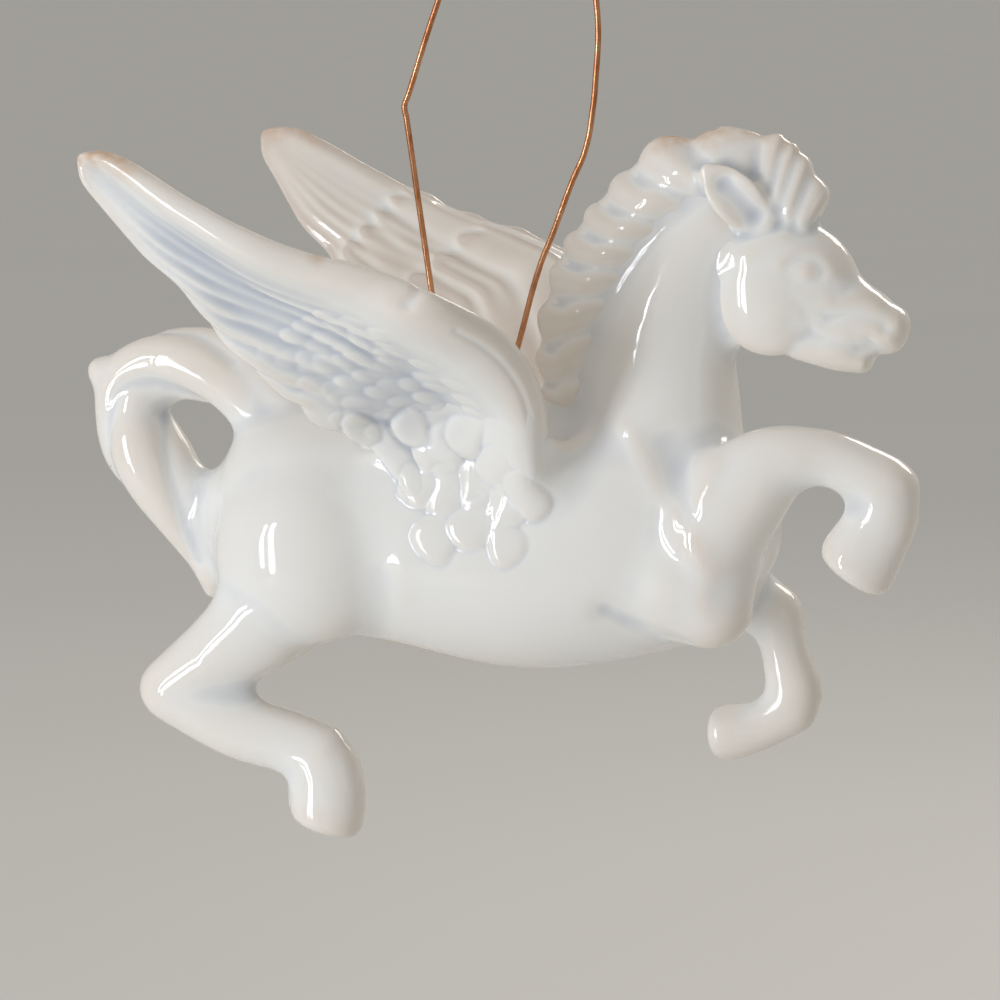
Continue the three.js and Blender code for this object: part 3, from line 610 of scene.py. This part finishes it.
def wingFrame(side, u):
    near = 1e-3
    lead, trail = wingEdges(side, u)
    ahead, behind = wingEdges(side, u + near), wingEdges(side, u - near)
    along = unitRows(sum(a - b for a, b in zip(ahead, behind)))
    chord = trail - lead
    outward = unitRows(np.cross(chord, along))
    outward *= np.sign(outward[:, 1:2] * side)
    return lead, chord, along, outward


def wingField(v):
    return np.clip((v - wingSet["fieldStart"]) / (1 - wingSet["fieldStart"]), 0, 1)


# Heights of the outer and inner face: a rolled leading edge, then a dished field
def wingFaces(u, v):
    tip = np.sqrt(np.maximum(0, 1 - u ** 14))
    taper = tip * (1.25 - 0.7 * u)
    blunt = np.sqrt(1 - v ** 8)
    edge = wingSet["edgeHalf"] * tip * np.sqrt(v) * blunt
    x = v / wingSet["rollPeak"]
    roll = wingSet["rollHeight"] * taper * np.sqrt(x) * np.exp((1 - x * x) / 4)
    dish = wingSet["dish"] * np.sin(np.pi * wingField(v)) ** 2 * (1 - u ** 3)
    back = wingSet["backHalf"] * taper * np.sqrt(np.minimum(1, v / 0.15)) * (1 - 0.65 * v) * blunt
    return roll + edge - dish, -back - edge - 0.5 * dish


# The same, held apart so that the skin never closes between its edges
def wingWalls(u, v):
    front, back = wingFaces(u, v)
    return np.maximum(front, -wingSet["leastFront"]), np.minimum(back, -wingSet["leastBack"])


# Places on the outer face, with the directions along the wing and out of it there
def wingPoint(side, u, v):
    u, v = np.broadcast_arrays(np.atleast_1d(u).astype(float), np.atleast_1d(v).astype(float))
    lead, chord, along, outward = wingFrame(side, u)
    height = wingFaces(u, v)[0]
    return lead + chord * v[:, None] + outward * height[:, None], along, outward


# The long feathers: ridges that run with the trailing edge and drift off it towards the tip
def longFeathers(u, v):
    field = wingField(v)
    wander = 0.34 * np.sin(9 * u + 5 * v) + 0.2 * np.sin(17 * u - 3 * v + 1)
    share = (wingSet["ridges"] * (field - wingSet["sweep"] * u) + wander) % 1
    feather = share * (1 - smoothStep(0.72, 1, share))
    strength = 0.7 + 0.42 * np.sin(7 * u + 11 * v)
    shown = smoothStep(0, 0.3, field) * smoothStep(*wingSet["ridgeFrom"], u)
    shown = shown * (1 - smoothStep(*wingSet["ridgeTo"], u)) * strength
    return wingSet["ridgeHeight"] * feather * shown


# Layers of short feathers on the inner face, each with a lobed edge
def shortFeathers(u, v):
    covered = np.zeros(len(u))
    rim = wingSet["layerEdge"]
    for layerReach, lobes, height in wingSet["layers"]:
        lobe = np.abs(np.sin(np.pi * (lobes * v + 0.3)))
        edge = layerReach - 0.05 * v + wingSet["layerLobe"] * np.sqrt(lobe)
        covered += height * smoothStep(-rim, rim, edge - u) * (0.75 + 0.25 * lobe)
    return covered * (smoothStep(0.02, 0.12, v) * (1 - smoothStep(0.9, 1, v)))


# Steps in the outline of the trailing edge, where the long feathers run out
def edgeSteps(u, v):
    saw = wingSet["ridges"] * (1 - wingSet["sweep"] * u) % 1
    stepped = smoothStep(*wingSet["stepFrom"], u) * (1 - smoothStep(*wingSet["stepTo"], u)) * v ** 4
    return wingSet["tipStep"] * (saw * (1 - smoothStep(0.55, 1, saw)) - 0.4) * stepped


def spreadWing(ball, side, u, v, height):
    lead, chord, _, outward = wingFrame(side, u)
    close = np.sqrt(1 - np.clip((u - (1 - wingSet["tipClose"])) / wingSet["tipClose"], 0, 1) ** 2)
    v = 0.5 + (v - 0.5) * close
    step = edgeSteps(u, v)
    writePoints(ball, lead + chord * v[:, None] + unitRows(chord) * step[:, None] + outward * height[:, None])


def makeWingPlate(side):
    ball, u, turn = newBall(wingSet["segments"], wingSet["rings"])
    v = (1 - np.cos(turn)) / 2
    front, back = wingWalls(u, v)
    relief = longFeathers(u, v)
    inner = back - wingSet["innerRidge"] * relief - shortFeathers(u, v)
    spreadWing(ball, side, u, v, np.where(np.sin(turn) >= 0, front + relief, inner))
    return ball


# The wing's root as part of the body: a little proud of the plate there, and sunk into it further out
def makeWingCore(side):
    ball, share, turn = newBall(wingSet["segments"], wingSet["rings"])
    u = share * wingSet["coreReach"]
    v = (1 - np.cos(turn)) / 2 * (1 - wingSet["coreInset"] * smoothStep(*wingSet["coreInsetFade"], u))
    front, back = wingWalls(u, v)
    fade = smoothStep(*wingSet["coreFade"], u - wingSet["coreTrail"] * v * v)
    sunk = (wingSet["coreProud"] + wingSet["coreSunk"]) * fade - wingSet["coreProud"]
    sunk = np.minimum(sunk, 0.45 * (front - back))
    spreadWing(ball, side, u, v, np.where(np.sin(turn) >= 0, front - sunk, back + sunk))
    return ball


# Short round feathers that cover the wing's root: low pillows that run down on to the flank, and rows of
# small ones above them on the wing, each lifted at its free end
featherSet = {
    "scales": [
        (-12.4, 9.3, 3.9), (-4.4, 10.0, 4.0), (-4.0, 3.1, 3.8), (1.4, 4.9, 3.6), (5.1, 6.8, 3.2),
        (-5.2, -3.4, 3.5), (5.6, 0.7, 3.2), (5.9, -4.1, 3.0), (-8.9, 13.2, 2.8), (-0.2, 13.2, 3.0),
        (-17.4, 12.6, 2.7), (9.7, 3.6, 3.1), (0.6, -1.7, 3.5), (-9.2, 4.3, 3.1),
    ],
    "scaleHeight": 0.8, "scaleGrow": 1.16, "scaleGroove": (0.1, 0.2), "scaleWarp": 0.2,
    "low": (-22, 10, -9), "high": (14, 30, 18), "smoothing": 2,
    "covertRows": (0.19, 0.5, 10), "covertChord": (0.34, 0.92, 0.1), "covertSize": (2.9, 1.9, 2.2),
    "covertHeight": 0.42, "covertVary": (0.5, 1.3), "covertJitter": 0.02, "covertSeed": 5,
}


def raiseScales(obj):
    points, normals = figurePoints(obj), vertexNormals(obj)
    flank = flankWeight(points, normals, bothSides) * (np.abs(points[:, 1]) > featherSet["low"][1])
    shift = np.zeros(len(points))
    warp = featherSet["scaleWarp"]
    depth, width = featherSet["scaleGroove"]
    for i, (x, z, radius) in enumerate(featherSet["scales"]):
        dx, dz = ((points[:, [0, 2]] - [x, z]) / (radius * featherSet["scaleGrow"])).T
        away = np.hypot(dx + warp * np.sin(2.3 * dz + 1.7 * i), 0.92 * dz + warp * np.sin(1.9 * dx + 2.9 * i))
        lift = (0.7 - 0.2 * dx - 0.3 * dz) * (0.65 + 0.35 * smoothStep(-5, 5, z))  # highest at the free end
        pillow = featherSet["scaleHeight"] * lift * np.sqrt(np.maximum(0, 1 - away ** 3.2))
        shift = np.where(away < 1, np.maximum(0.75 * shift, pillow), shift)
        shift -= depth * np.exp(-((away - 1) / width) ** 2)
    writePoints(obj, points + normals * (shift * flank)[:, None])


def raiseCoverts(wing, side):
    points, normals = figurePoints(wing), vertexNormals(wing)
    shift = np.zeros(len(points))
    jitter = np.random.default_rng(featherSet["covertSeed"])
    spread, size = featherSet["covertJitter"], np.array(featherSet["covertSize"])
    first, last, pitch = featherSet["covertChord"]
    for row, u in enumerate(np.linspace(*featherSet["covertRows"])):
        for v in np.arange(first + pitch / 2 * (row % 2), last, pitch):
            u1, v1 = np.clip(np.array([u, v]) + jitter.uniform(-spread, spread, 2) * [1, 2], 0, 0.98)
            centre, along, outward = (found[0] for found in wingPoint(side, u1, v1))
            lead, trail = (edge[0] for edge in wingEdges(side, np.array([u1])))
            free = along + 0.7 * (trail - lead) / np.linalg.norm(trail - lead)
            free = free - outward * (free @ outward)
            free /= np.linalg.norm(free)
            axes = np.array([free, np.cross(outward, free), outward]) / size[:, None]
            near = np.abs(points - centre).max(1) < size.max()
            local = (points[near] - centre) @ axes.T
            height = featherSet["covertHeight"] * jitter.uniform(*featherSet["covertVary"])
            height = height * (1 - 0.6 * smoothStep(0.75, 0.95, v1)) * (0.5 + 0.5 * local[:, 0])
            rise = height * np.sqrt(np.maximum(0, 1 - (local ** 2).sum(1))) * (normals[near] @ outward > 0)
            shift[near] = np.maximum(shift[near], rise)
    writePoints(wing, points + normals * shift[:, None])


# A notch in the right wing's roll, humps along the left one's, and a crease below the roll of both
def wingStrokes(side):
    if side == right:
        strokes = [(*wingSet["notch"], wingPoint(side, wingSet["notchU"], wingSet["notchV"])[0])]
    else:
        strokes = [(*wingSet["hump"], wingPoint(side, u, wingSet["humpV"])[0]) for u in wingSet["humpU"]]
    rim = wingPoint(side, np.linspace(*wingSet["rimU"]), wingSet["rimV"])[0]
    return [*strokes, (*wingSet["rim"], rim)]


def makeWing(side):
    name = "rightWing" if side == right else "leftWing"
    wing = fuse(joinUp(name, [makeWingPlate(side)]), wingSet)
    raiseCoverts(wing, side)
    raiseScales(wing)
    sculpt(wing, wingStrokes(side))
    smoothOver(wing, featherSet["smoothing"])
    return wing


# Wing roots, neck, haunches and shoulders flow into the torso in wide hollow curves
blendSet = {"voxel": 0.8, "fillet": 5.0, "smoothing": 4, "maneInset": 1.2}


def makeRootBlend():
    roots = [makeWingCore(side) for side in bothSides]
    thighs = [makeThigh(side) for side in bothSides]
    muscles = [*thighs, *makeShoulder(right, "raised"), *makeShoulder(left, "folded")]
    forms = [makeTorso(), makeNeck(), makeLocks("mane", blendSet["maneInset"]), *roots, *muscles]
    return fuse(joinUp("rootBlend", forms), blendSet)


# Ears: laid-back leaves with a hollow
earSet = {
    "leaf": [
        (44.6, 5, 46.6, 3, 2.4, 1.8), (41.4, 6.6, 50, 4.2, 3.8, 2), (38.2, 7.2, 53, 3.4, 3.2, 1.8),
        (35.8, 7, 55, 1.4, 1.4, 1),
    ],
    "hollow": [(43.2, 48.2), (41.4, 50.2), (39.2, 52.4)], "hollowWidth": 2.9, "hollowDepth": 2.7,
}


def makeEar(side):
    ear = newLoft([(x, side * y, z, *size) for x, y, z, *size in earSet["leaf"]])
    points, outer = figurePoints(ear), side * vertexNormals(ear)[:, 1] > 0
    hollow = earSet["hollowDepth"] * strokeWeight(points[:, [0, 2]], earSet["hollowWidth"], earSet["hollow"])
    writePoints(ear, points - side * lateral * (outer * hollow)[:, None])
    return ear


# Body: torso, neck, legs and tail, fused with the wing roots and with smaller copies of the head and mane,
# which lie under the skins of those pieces
bodySet = {
    "voxel": 0.74, "fillet": 1.5, "smoothing": 8, "inset": 0.5,
    "strokes": [
        (0.45, 1.9, [(24.5, 14), (28, 8.5), (31.6, 3.6), (33.6, 1.2)]),  # muscle from the neck to the chest
        (0.4, 1.6, [(40, 9), (38.6, 6), (37.6, 3.6)]),  # front of the chest
        (-0.5, 2.8, [(31, 12), (34, 6), (35.2, 2.5)]),  # hollow between them
        (0.25, 2.6, [(-11.6, -9), (-11.2, -14)]),  # fold of the flank
    ],
    "rightStrokes": [
        (-0.7, 1.9, [(22, -15.6), (26, -17.8), (30, -19.6), (34, -21)]),  # crease of the elbow
        (0.35, 1.9, [(37.4, -2.6), (38.8, -7.5), (38, -13)]),  # front of the shoulder
    ],
}


# Openings: the cast hollow, the drain with its rounded mouth, and the two holes for the wire
def cutOpenings(body):
    drainX, length, width = torsoSet["drainX"], torsoSet["drainLength"] / 2, torsoSet["drainWidth"] / 2
    drain = [
        (drainX, 0, z, length + flare, length + flare, width + flare) for z, flare in torsoSet["drainMouth"]
    ]
    cutters = [
        newLoft(torsoStations(torsoSet["castWall"]), torsoSet["domes"], forwards, segments=48, rings=64),
        newLoft(drain, (0.1, 0.1), segments=64, rings=64),
    ]
    hole = torsoSet["holeDiameter"] / 2
    for x in (frontHole, rearHole):
        bore = [(x - figureDatum[0], 0, z, hole, hole, hole) for z in torsoSet["boreHeights"]]
        cutters.append(newLoft(bore, (0.1, 0.1), segments=24, rings=24))
    for cutter in cutters:
        finishWith(body, "BOOLEAN", object=cutter, operation="DIFFERENCE", solver="MANIFOLD")
        bpy.data.objects.remove(cutter)
    bpy.ops.object.shade_smooth_by_angle(angle=math.radians(torsoSet["creaseAngle"]))


def makeBody():
    inset = bodySet["inset"]
    parts = [
        makeRootBlend(), *makeTail(), *makeHeadForms(inset), makeLocks("mane", inset),
        *makeHindLeg(right, 0), *makeHindLeg(left, hindSet["leftTuck"]),
        *makeForeleg(right, "raised"), *makeForeleg(left, "folded"),
    ]
    body = fuse(joinUp("glazedBody", parts), bodySet)
    sculpt(body, bodySet["strokes"] + tailGrooves())
    sculpt(body, bodySet["rightStrokes"], (right,))
    refine(body, featherSet["low"], featherSet["high"])
    raiseScales(body)
    smoothOver(body, featherSet["smoothing"])
    cutOpenings(body)
    return body


def makeHead():
    parts = [*makeHeadForms(), makeLocks("forelock"), makeLocks("mane"), makeEar(right), makeEar(left)]
    head = fuse(joinUp("headWithMane", parts), headSet)
    sculpt(head, headSet["strokes"])
    return head


# Materials
def linear(hexCode):
    parts = [int(hexCode[i:i + 2], 16) / 255 for i in (1, 3, 5)]
    return (*[c / 12.92 if c <= 0.04045 else ((c + 0.055) / 1.055) ** 2.4 for c in parts], 1)


mixShare, mixBelow, mixAbove, mixResult = 0, 6, 7, 2  # sockets of a colour mix, whose names repeat


def addNode(tree, kind, inputs=None, **settings):
    node = tree.nodes.new(kind)
    for key, value in settings.items():
        setattr(node, key, value)
    for key, value in (inputs or {}).items():
        if isinstance(value, bpy.types.NodeSocket):
            tree.links.new(value, node.inputs[key])
        else:
            node.inputs[key].default_value = value
    return node


def newMaterial(name):
    material = bpy.data.materials.new(name)
    material.use_nodes = True
    tree = material.node_tree
    return material, tree, tree.nodes["Principled BSDF"]


# Glazed porcelain: a white body under a clear glossy glaze, which pools bluish in hollows and thins to a warm
# white on edges, with a painted warm shade on the wings' inner faces, strongest low between the wings, a
# faint wave in the gloss, rubbed buff at the wing tips and the crest, specked here and there, and bare at the
# drain
glazeSet = {
    # The lowest stop's biscuit tint also serves as the painted warm shade on the wings' inner faces
    "white": "#f0f0ed", "thin": "#efe9e0", "pooled": "#bcc3cf", "biscuitAndShade": "#dbd0c5",
    "stops": {"biscuitAndShade": 0.0, "thin": 0.25, "white": 0.5, "pooled": 0.95},
    "gloss": 0.07, "ior": 1.5, "cloudMm": 26, "cloud": 0.25,
    "waveMm": 9, "waveDepth": 0.03, "waveStrength": 0.5,
    "rub": "#cda27a", "rubMm": 2.2, "rubContrast": 2.4, "rubOffset": -0.5,
    "speck": "#9a7a5c", "speckMm": 13, "speckRadius": 0.28, "speckStrength": 0.7,
    "bare": "#e3d8c6", "bareGloss": 0.6, "bareEdge": (1.08, 1.16), "bareBelow": -15,
    "rubs": [
        (0.75, 3.2, [(-56, -45, 58.5), (-47, -46, 58)]), (0.6, 3.2, [(-56, 45, 58.5), (-47, 46, 58)]),
        (1.15, 3.3, [(28.4, 0, 60)]), (1.0, 3.3, [(35.1, 0, 61.5)]),
        (0.35, 3.4, [(42, 0, 61.5), (48, 0, 58)]), (0.6, 1.2, [(-16.5, -45, 42.5)]),
    ],
    "fieldU": (0.3, 0.72, 8), "fieldV": 0.62, "fieldWidth": 9.5, "fieldPool": 0.45,
    "edgeThin": -0.5, "rootFade": (8, 20),
    # Painted shade on the wings' inner faces: its strength low and high on the wing, the heights over which
    # it weakens upwards, and the heights over which it fades in above the root
    "innerShade": (0.95, 0.4), "innerShadeRise": (20, 52), "innerShadeFade": (11, 23),
    "near": (1.2, 0.24), "wide": (3.2, 2.2), "voxelStep": 0.7,
}


# Where the glaze pools: each point's depth below the surface averaged round it, near and wide,
# each as a radius and the depth that counts as full
def poolOf(obj, voxel):
    count = len(obj.data.vertices)
    ends = np.empty(len(obj.data.edges) * 2, int)
    obj.data.edges.foreach_get("vertices", ends)
    a, b = ends[0::2], ends[1::2]
    degree = np.maximum(np.bincount(a, minlength=count) + np.bincount(b, minlength=count), 1)
    start = readPoints(obj) / mm
    normals = vertexNormals(obj)
    soft = start.copy()
    pool = np.zeros(count)
    done = 0
    for radius, full in (glazeSet["near"], glazeSet["wide"]):
        passes = int((radius / (glazeSet["voxelStep"] * voxel)) ** 2)
        for _ in range(passes - done):
            near = [np.bincount(a, soft[b, k], count) + np.bincount(b, soft[a, k], count) for k in range(3)]
            soft = np.column_stack(near) / degree[:, None]
        done = passes
        pool += np.clip(((soft - start) * normals).sum(1) / full, -1, 1) / 2
    return pool


def paint(obj, name, values):
    layer = obj.data.attributes.new(name, "FLOAT", "POINT")
    layer.data.foreach_set("value", values.astype(np.float32))


def paintPiece(piece, voxel):
    points, normals = figurePoints(piece), vertexNormals(piece)
    x, y, z = points.T
    pool = np.maximum(poolOf(piece, voxel), glazeSet["edgeThin"])
    for side in bothSides:
        field = wingPoint(side, np.linspace(*glazeSet["fieldU"]), glazeSet["fieldV"])[0]
        facing = smoothStep(-0.1, 0.4, side * normals[:, 1])
        pool += glazeSet["fieldPool"] * facing * strokeWeight(points, glazeSet["fieldWidth"], field)
    if "Wing" in piece.name:
        pool = np.where(pool < 0, pool * smoothStep(*glazeSet["rootFade"], z), pool)
        # Painted shade: the inner faces of both wings are pushed down the ramp towards the warm biscuit tint.
        # It is strongest low between the wings, weaker towards the tips, and absent at the root.
        low, high = glazeSet["innerShade"]
        paintedShade = low + (high - low) * smoothStep(*glazeSet["innerShadeRise"], z)
        paintedShade *= smoothStep(*glazeSet["innerShadeFade"], z)
        pool -= paintedShade * (1 - smoothStep(-0.5, 0, np.sign(y) * normals[:, 1]))
    rub = sum(strength * strokeWeight(points, width, line) for strength, width, line in glazeSet["rubs"])
    away = np.hypot((x - torsoSet["drainX"]) / torsoSet["drainLength"], y / torsoSet["drainWidth"]) * 2
    # The pool attribute also carries the wings' painted inner shade, as negative values
    paint(piece, "pool", pool)
    paint(piece, "rub", rub)
    paint(piece, "bare", (1 - smoothStep(*glazeSet["bareEdge"], away)) * (z < glazeSet["bareBelow"]))


def makePorcelain():
    material, tree, shader = newMaterial("glazedPorcelain")
    place = addNode(tree, "ShaderNodeTexCoord").outputs["Object"]
    painted = {}
    for name in ("pool", "rub", "bare"):
        painted[name] = addNode(tree, "ShaderNodeAttribute", attribute_name=name).outputs["Fac"]
    noise = {}
    for name, detail in (("cloud", 2.0), ("rub", 3.0), ("wave", 1.0)):
        noise[name] = addNode(tree, "ShaderNodeTexNoise", {
            "Vector": place, "Scale": 1 / (glazeSet[name + "Mm"] * mm), "Detail": detail}).outputs["Fac"]
    cloudy = glazeSet["cloud"]
    cloud = addNode(tree, "ShaderNodeMath", {
        0: noise["cloud"], 1: cloudy, 2: 0.5 - cloudy / 2}, operation="MULTIPLY_ADD")
    depth = addNode(tree, "ShaderNodeMath", {
        0: painted["pool"], 1: 0.5, 2: cloud.outputs[0]}, operation="MULTIPLY_ADD")
    ramp = addNode(tree, "ShaderNodeValToRGB", {"Fac": depth.outputs[0]})
    # The biscuit and thin stops also give the painted warm shade of the wings' inner faces
    stops = ramp.color_ramp.elements
    for stop, shade in zip(stops, ("thin", "pooled")):
        stop.position, stop.color = glazeSet["stops"][shade], linear(glazeSet[shade])
    for shade in ("white", "biscuitAndShade"):
        stops.new(glazeSet["stops"][shade]).color = linear(glazeSet[shade])
    patchy = addNode(tree, "ShaderNodeMath", {
        0: noise["rub"], 1: glazeSet["rubContrast"], 2: glazeSet["rubOffset"],
    }, operation="MULTIPLY_ADD")
    rubbed = addNode(tree, "ShaderNodeMath", {
        0: painted["rub"], 1: patchy.outputs[0]}, operation="MULTIPLY", use_clamp=True)
    cell = addNode(tree, "ShaderNodeTexVoronoi", {
        "Vector": place, "Scale": 1 / (glazeSet["speckMm"] * mm)})
    reach = glazeSet["speckRadius"] / glazeSet["speckMm"]
    speck = addNode(tree, "ShaderNodeMapRange", {
        "Value": cell.outputs["Distance"], "From Min": reach, "From Max": reach / 2,
        "To Max": glazeSet["speckStrength"]})
    colour = ramp.outputs["Color"]
    layers = {"rub": rubbed.outputs[0], "speck": speck.outputs["Result"], "bare": painted["bare"]}
    for name, share in layers.items():
        layer = addNode(tree, "ShaderNodeMix", {
            mixShare: share, mixBelow: colour, mixAbove: linear(glazeSet[name])}, data_type="RGBA")
        colour = layer.outputs[mixResult]
    tree.links.new(colour, shader.inputs["Base Color"])
    rough = addNode(tree, "ShaderNodeMath", {
        0: painted["bare"], 1: glazeSet["bareGloss"] - glazeSet["gloss"], 2: glazeSet["gloss"],
    }, operation="MULTIPLY_ADD")
    tree.links.new(rough.outputs[0], shader.inputs["Roughness"])
    bump = addNode(tree, "ShaderNodeBump", {
        "Height": noise["wave"], "Strength": glazeSet["waveStrength"],
        "Distance": glazeSet["waveDepth"] * mm})
    tree.links.new(bump.outputs["Normal"], shader.inputs["Normal"])
    shader.inputs["IOR"].default_value = glazeSet["ior"]
    return material


# Copper: drawn wire, bright with lines along it, made coarser than real ones so that they show,
# and duller where it has been handled
copperSet = {
    "bright": "#dba37c", "dull": "#a9683f", "lineMm": 0.12, "lineLengthMm": 9, "patchMm": 5,
    "dullAt": 0.12, "brightAt": 0.34, "dullGloss": 0.42, "brightGloss": 0.24,
}


def makeCopper():
    material, tree, shader = newMaterial("drawnCopper")
    place = addNode(tree, "ShaderNodeTexCoord").outputs["Object"]
    across, along = 1 / (copperSet["lineMm"] * mm), 1 / (copperSet["lineLengthMm"] * mm)
    stretched = addNode(tree, "ShaderNodeMapping", {"Vector": place, "Scale": (across, across, along)})
    lines = addNode(tree, "ShaderNodeTexNoise", {
        "Vector": stretched.outputs["Vector"], "Scale": 1.0, "Detail": 2.0})
    patches = addNode(tree, "ShaderNodeTexNoise", {
        "Vector": place, "Scale": 1 / (copperSet["patchMm"] * mm), "Detail": 3.0})
    mixed = addNode(tree, "ShaderNodeMath", {
        0: lines.outputs["Fac"], 1: patches.outputs["Fac"]}, operation="MULTIPLY")
    ramp = addNode(tree, "ShaderNodeValToRGB", {"Fac": mixed.outputs[0]})
    for stop, shade in zip(ramp.color_ramp.elements, ("dull", "bright")):
        stop.position, stop.color = copperSet[shade + "At"], linear(copperSet[shade])
    tree.links.new(ramp.outputs["Color"], shader.inputs["Base Color"])
    rough = addNode(tree, "ShaderNodeMapRange", {
        "Value": mixed.outputs[0], "From Min": copperSet["dullAt"], "From Max": copperSet["brightAt"],
        "To Min": copperSet["dullGloss"], "To Max": copperSet["brightGloss"]})
    tree.links.new(rough.outputs["Result"], shader.inputs["Roughness"])
    shader.inputs["Metallic"].default_value = 1
    return material


# Studio: a pale floor, two tall strip lamps left of the camera, a small one right, and broad soft lamps above
# and behind. A lamp is its name, its place and size in metres, its watts and its tint.
stageSet = {
    "floorZ": -430, "floorMetres": 60, "floor": "#d3d2ce", "worn": "#d0cfcb", "grainMm": 400,
    "floorGloss": 0.9, "seenFloor": 0.2, "world": "#f2eee9", "worldStrength": 0.47,
    "lamps": [
        ("keyLamp", (-0.48, -0.73, -0.1), (0.055, 0.6), 2.4, "#f2f7ff"),
        ("keyLampBeside", (-0.57, -0.66, -0.08), (0.04, 0.5), 1.55, "#f2f7ff"),
        ("sideLamp", (0.75, -0.55, 0.1), (0.2, 0.5), 0.2, "#f4f7ff"),
        ("topLamp", (-0.3, -0.6, 2.6), (3.2, 3.2), 7, "#fff3e6"),
        ("backLamp", (0.5, 1.4, 0.9), (1.0, 0.6), 11, "#fffaf4"),
    ],
}


# Pale painted floor: matt and faintly uneven. The camera and reflections see part of it unshaded.
def makeFloor():
    bpy.ops.object.select_all(action="DESELECT")
    bpy.ops.mesh.primitive_plane_add(size=stageSet["floorMetres"], location=(0, 0, stageSet["floorZ"] * mm))
    floor = bpy.context.object
    floor.name = "floor"
    material, tree, shader = newMaterial("paleFloor")
    place = addNode(tree, "ShaderNodeTexCoord").outputs["Object"]
    grain = addNode(tree, "ShaderNodeTexNoise", {"Vector": place, "Scale": 1 / (stageSet["grainMm"] * mm)})
    blend = addNode(tree, "ShaderNodeMix", {
        mixShare: grain.outputs["Fac"], mixBelow: linear(stageSet["floor"]),
        mixAbove: linear(stageSet["worn"])}, data_type="RGBA")
    tree.links.new(blend.outputs[mixResult], shader.inputs["Base Color"])
    shader.inputs["Roughness"].default_value = stageSet["floorGloss"]
    rays = addNode(tree, "ShaderNodeLightPath").outputs
    seen = addNode(tree, "ShaderNodeMath", {
        0: rays["Is Camera Ray"], 1: rays["Is Glossy Ray"]}, operation="ADD")
    seen = addNode(tree, "ShaderNodeMath", {
        0: seen.outputs[0], 1: rays["Is Transmission Ray"]}, operation="MAXIMUM")
    share = addNode(tree, "ShaderNodeMath", {
        0: seen.outputs[0], 1: stageSet["seenFloor"]}, operation="MULTIPLY")
    pale = addNode(tree, "ShaderNodeEmission", {"Color": blend.outputs[mixResult], "Strength": 1.0})
    shown = addNode(tree, "ShaderNodeMixShader", {
        0: share.outputs[0], 1: shader.outputs["BSDF"], 2: pale.outputs["Emission"]})
    tree.links.new(shown.outputs["Shader"], tree.nodes["Material Output"].inputs["Surface"])
    floor.data.materials.append(material)


def makeLight():
    world = bpy.data.worlds.new("studio")
    bpy.context.scene.world = world
    world.use_nodes = True
    background = world.node_tree.nodes["Background"]
    background.inputs["Color"].default_value = linear(stageSet["world"])
    background.inputs["Strength"].default_value = stageSet["worldStrength"]
    target = Vector(figureDatum) * mm
    for name, place, size, power, tint in stageSet["lamps"]:
        bpy.ops.object.light_add(type="AREA", location=place)
        lamp = bpy.context.object
        lamp.name = name
        lamp.data.shape = "RECTANGLE"
        lamp.data.size, lamp.data.size_y = size
        lamp.data.energy = power
        lamp.data.color = linear(tint)[:3]
        lamp.rotation_euler = (target - Vector(place)).to_track_quat("-Z", "Y").to_euler()
    bpy.context.scene.view_settings.view_transform = "Standard"
    print("studio lit by", len(stageSet["lamps"]), "lamps")


porcelain = makePorcelain()
pieces = {
    "glazedBody": (makeBody, bodySet, [
        "torso", "neck", "right_foreleg", "left_foreleg", "right_hind_leg", "left_hind_leg", "tail"]),
    "headWithMane": (makeHead, headSet, ["head", "forelock", "mane", "right_ear", "left_ear"]),
    "rightWing": (lambda: makeWing(right), wingSet, ["right_wing"]),
    "leftWing": (lambda: makeWing(left), wingSet, ["left_wing"]),
}
for name, (make, settings, nodes) in pieces.items():
    piece = make()
    paintPiece(piece, settings["voxel"])
    piece.data.materials.clear()
    piece.data.materials.append(porcelain)
    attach(piece, "figurine")
    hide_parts(*nodes)
    print(name, len(piece.data.polygons), "faces")
hangingWire.data.materials.append(makeCopper())
makeFloor()
makeLight()
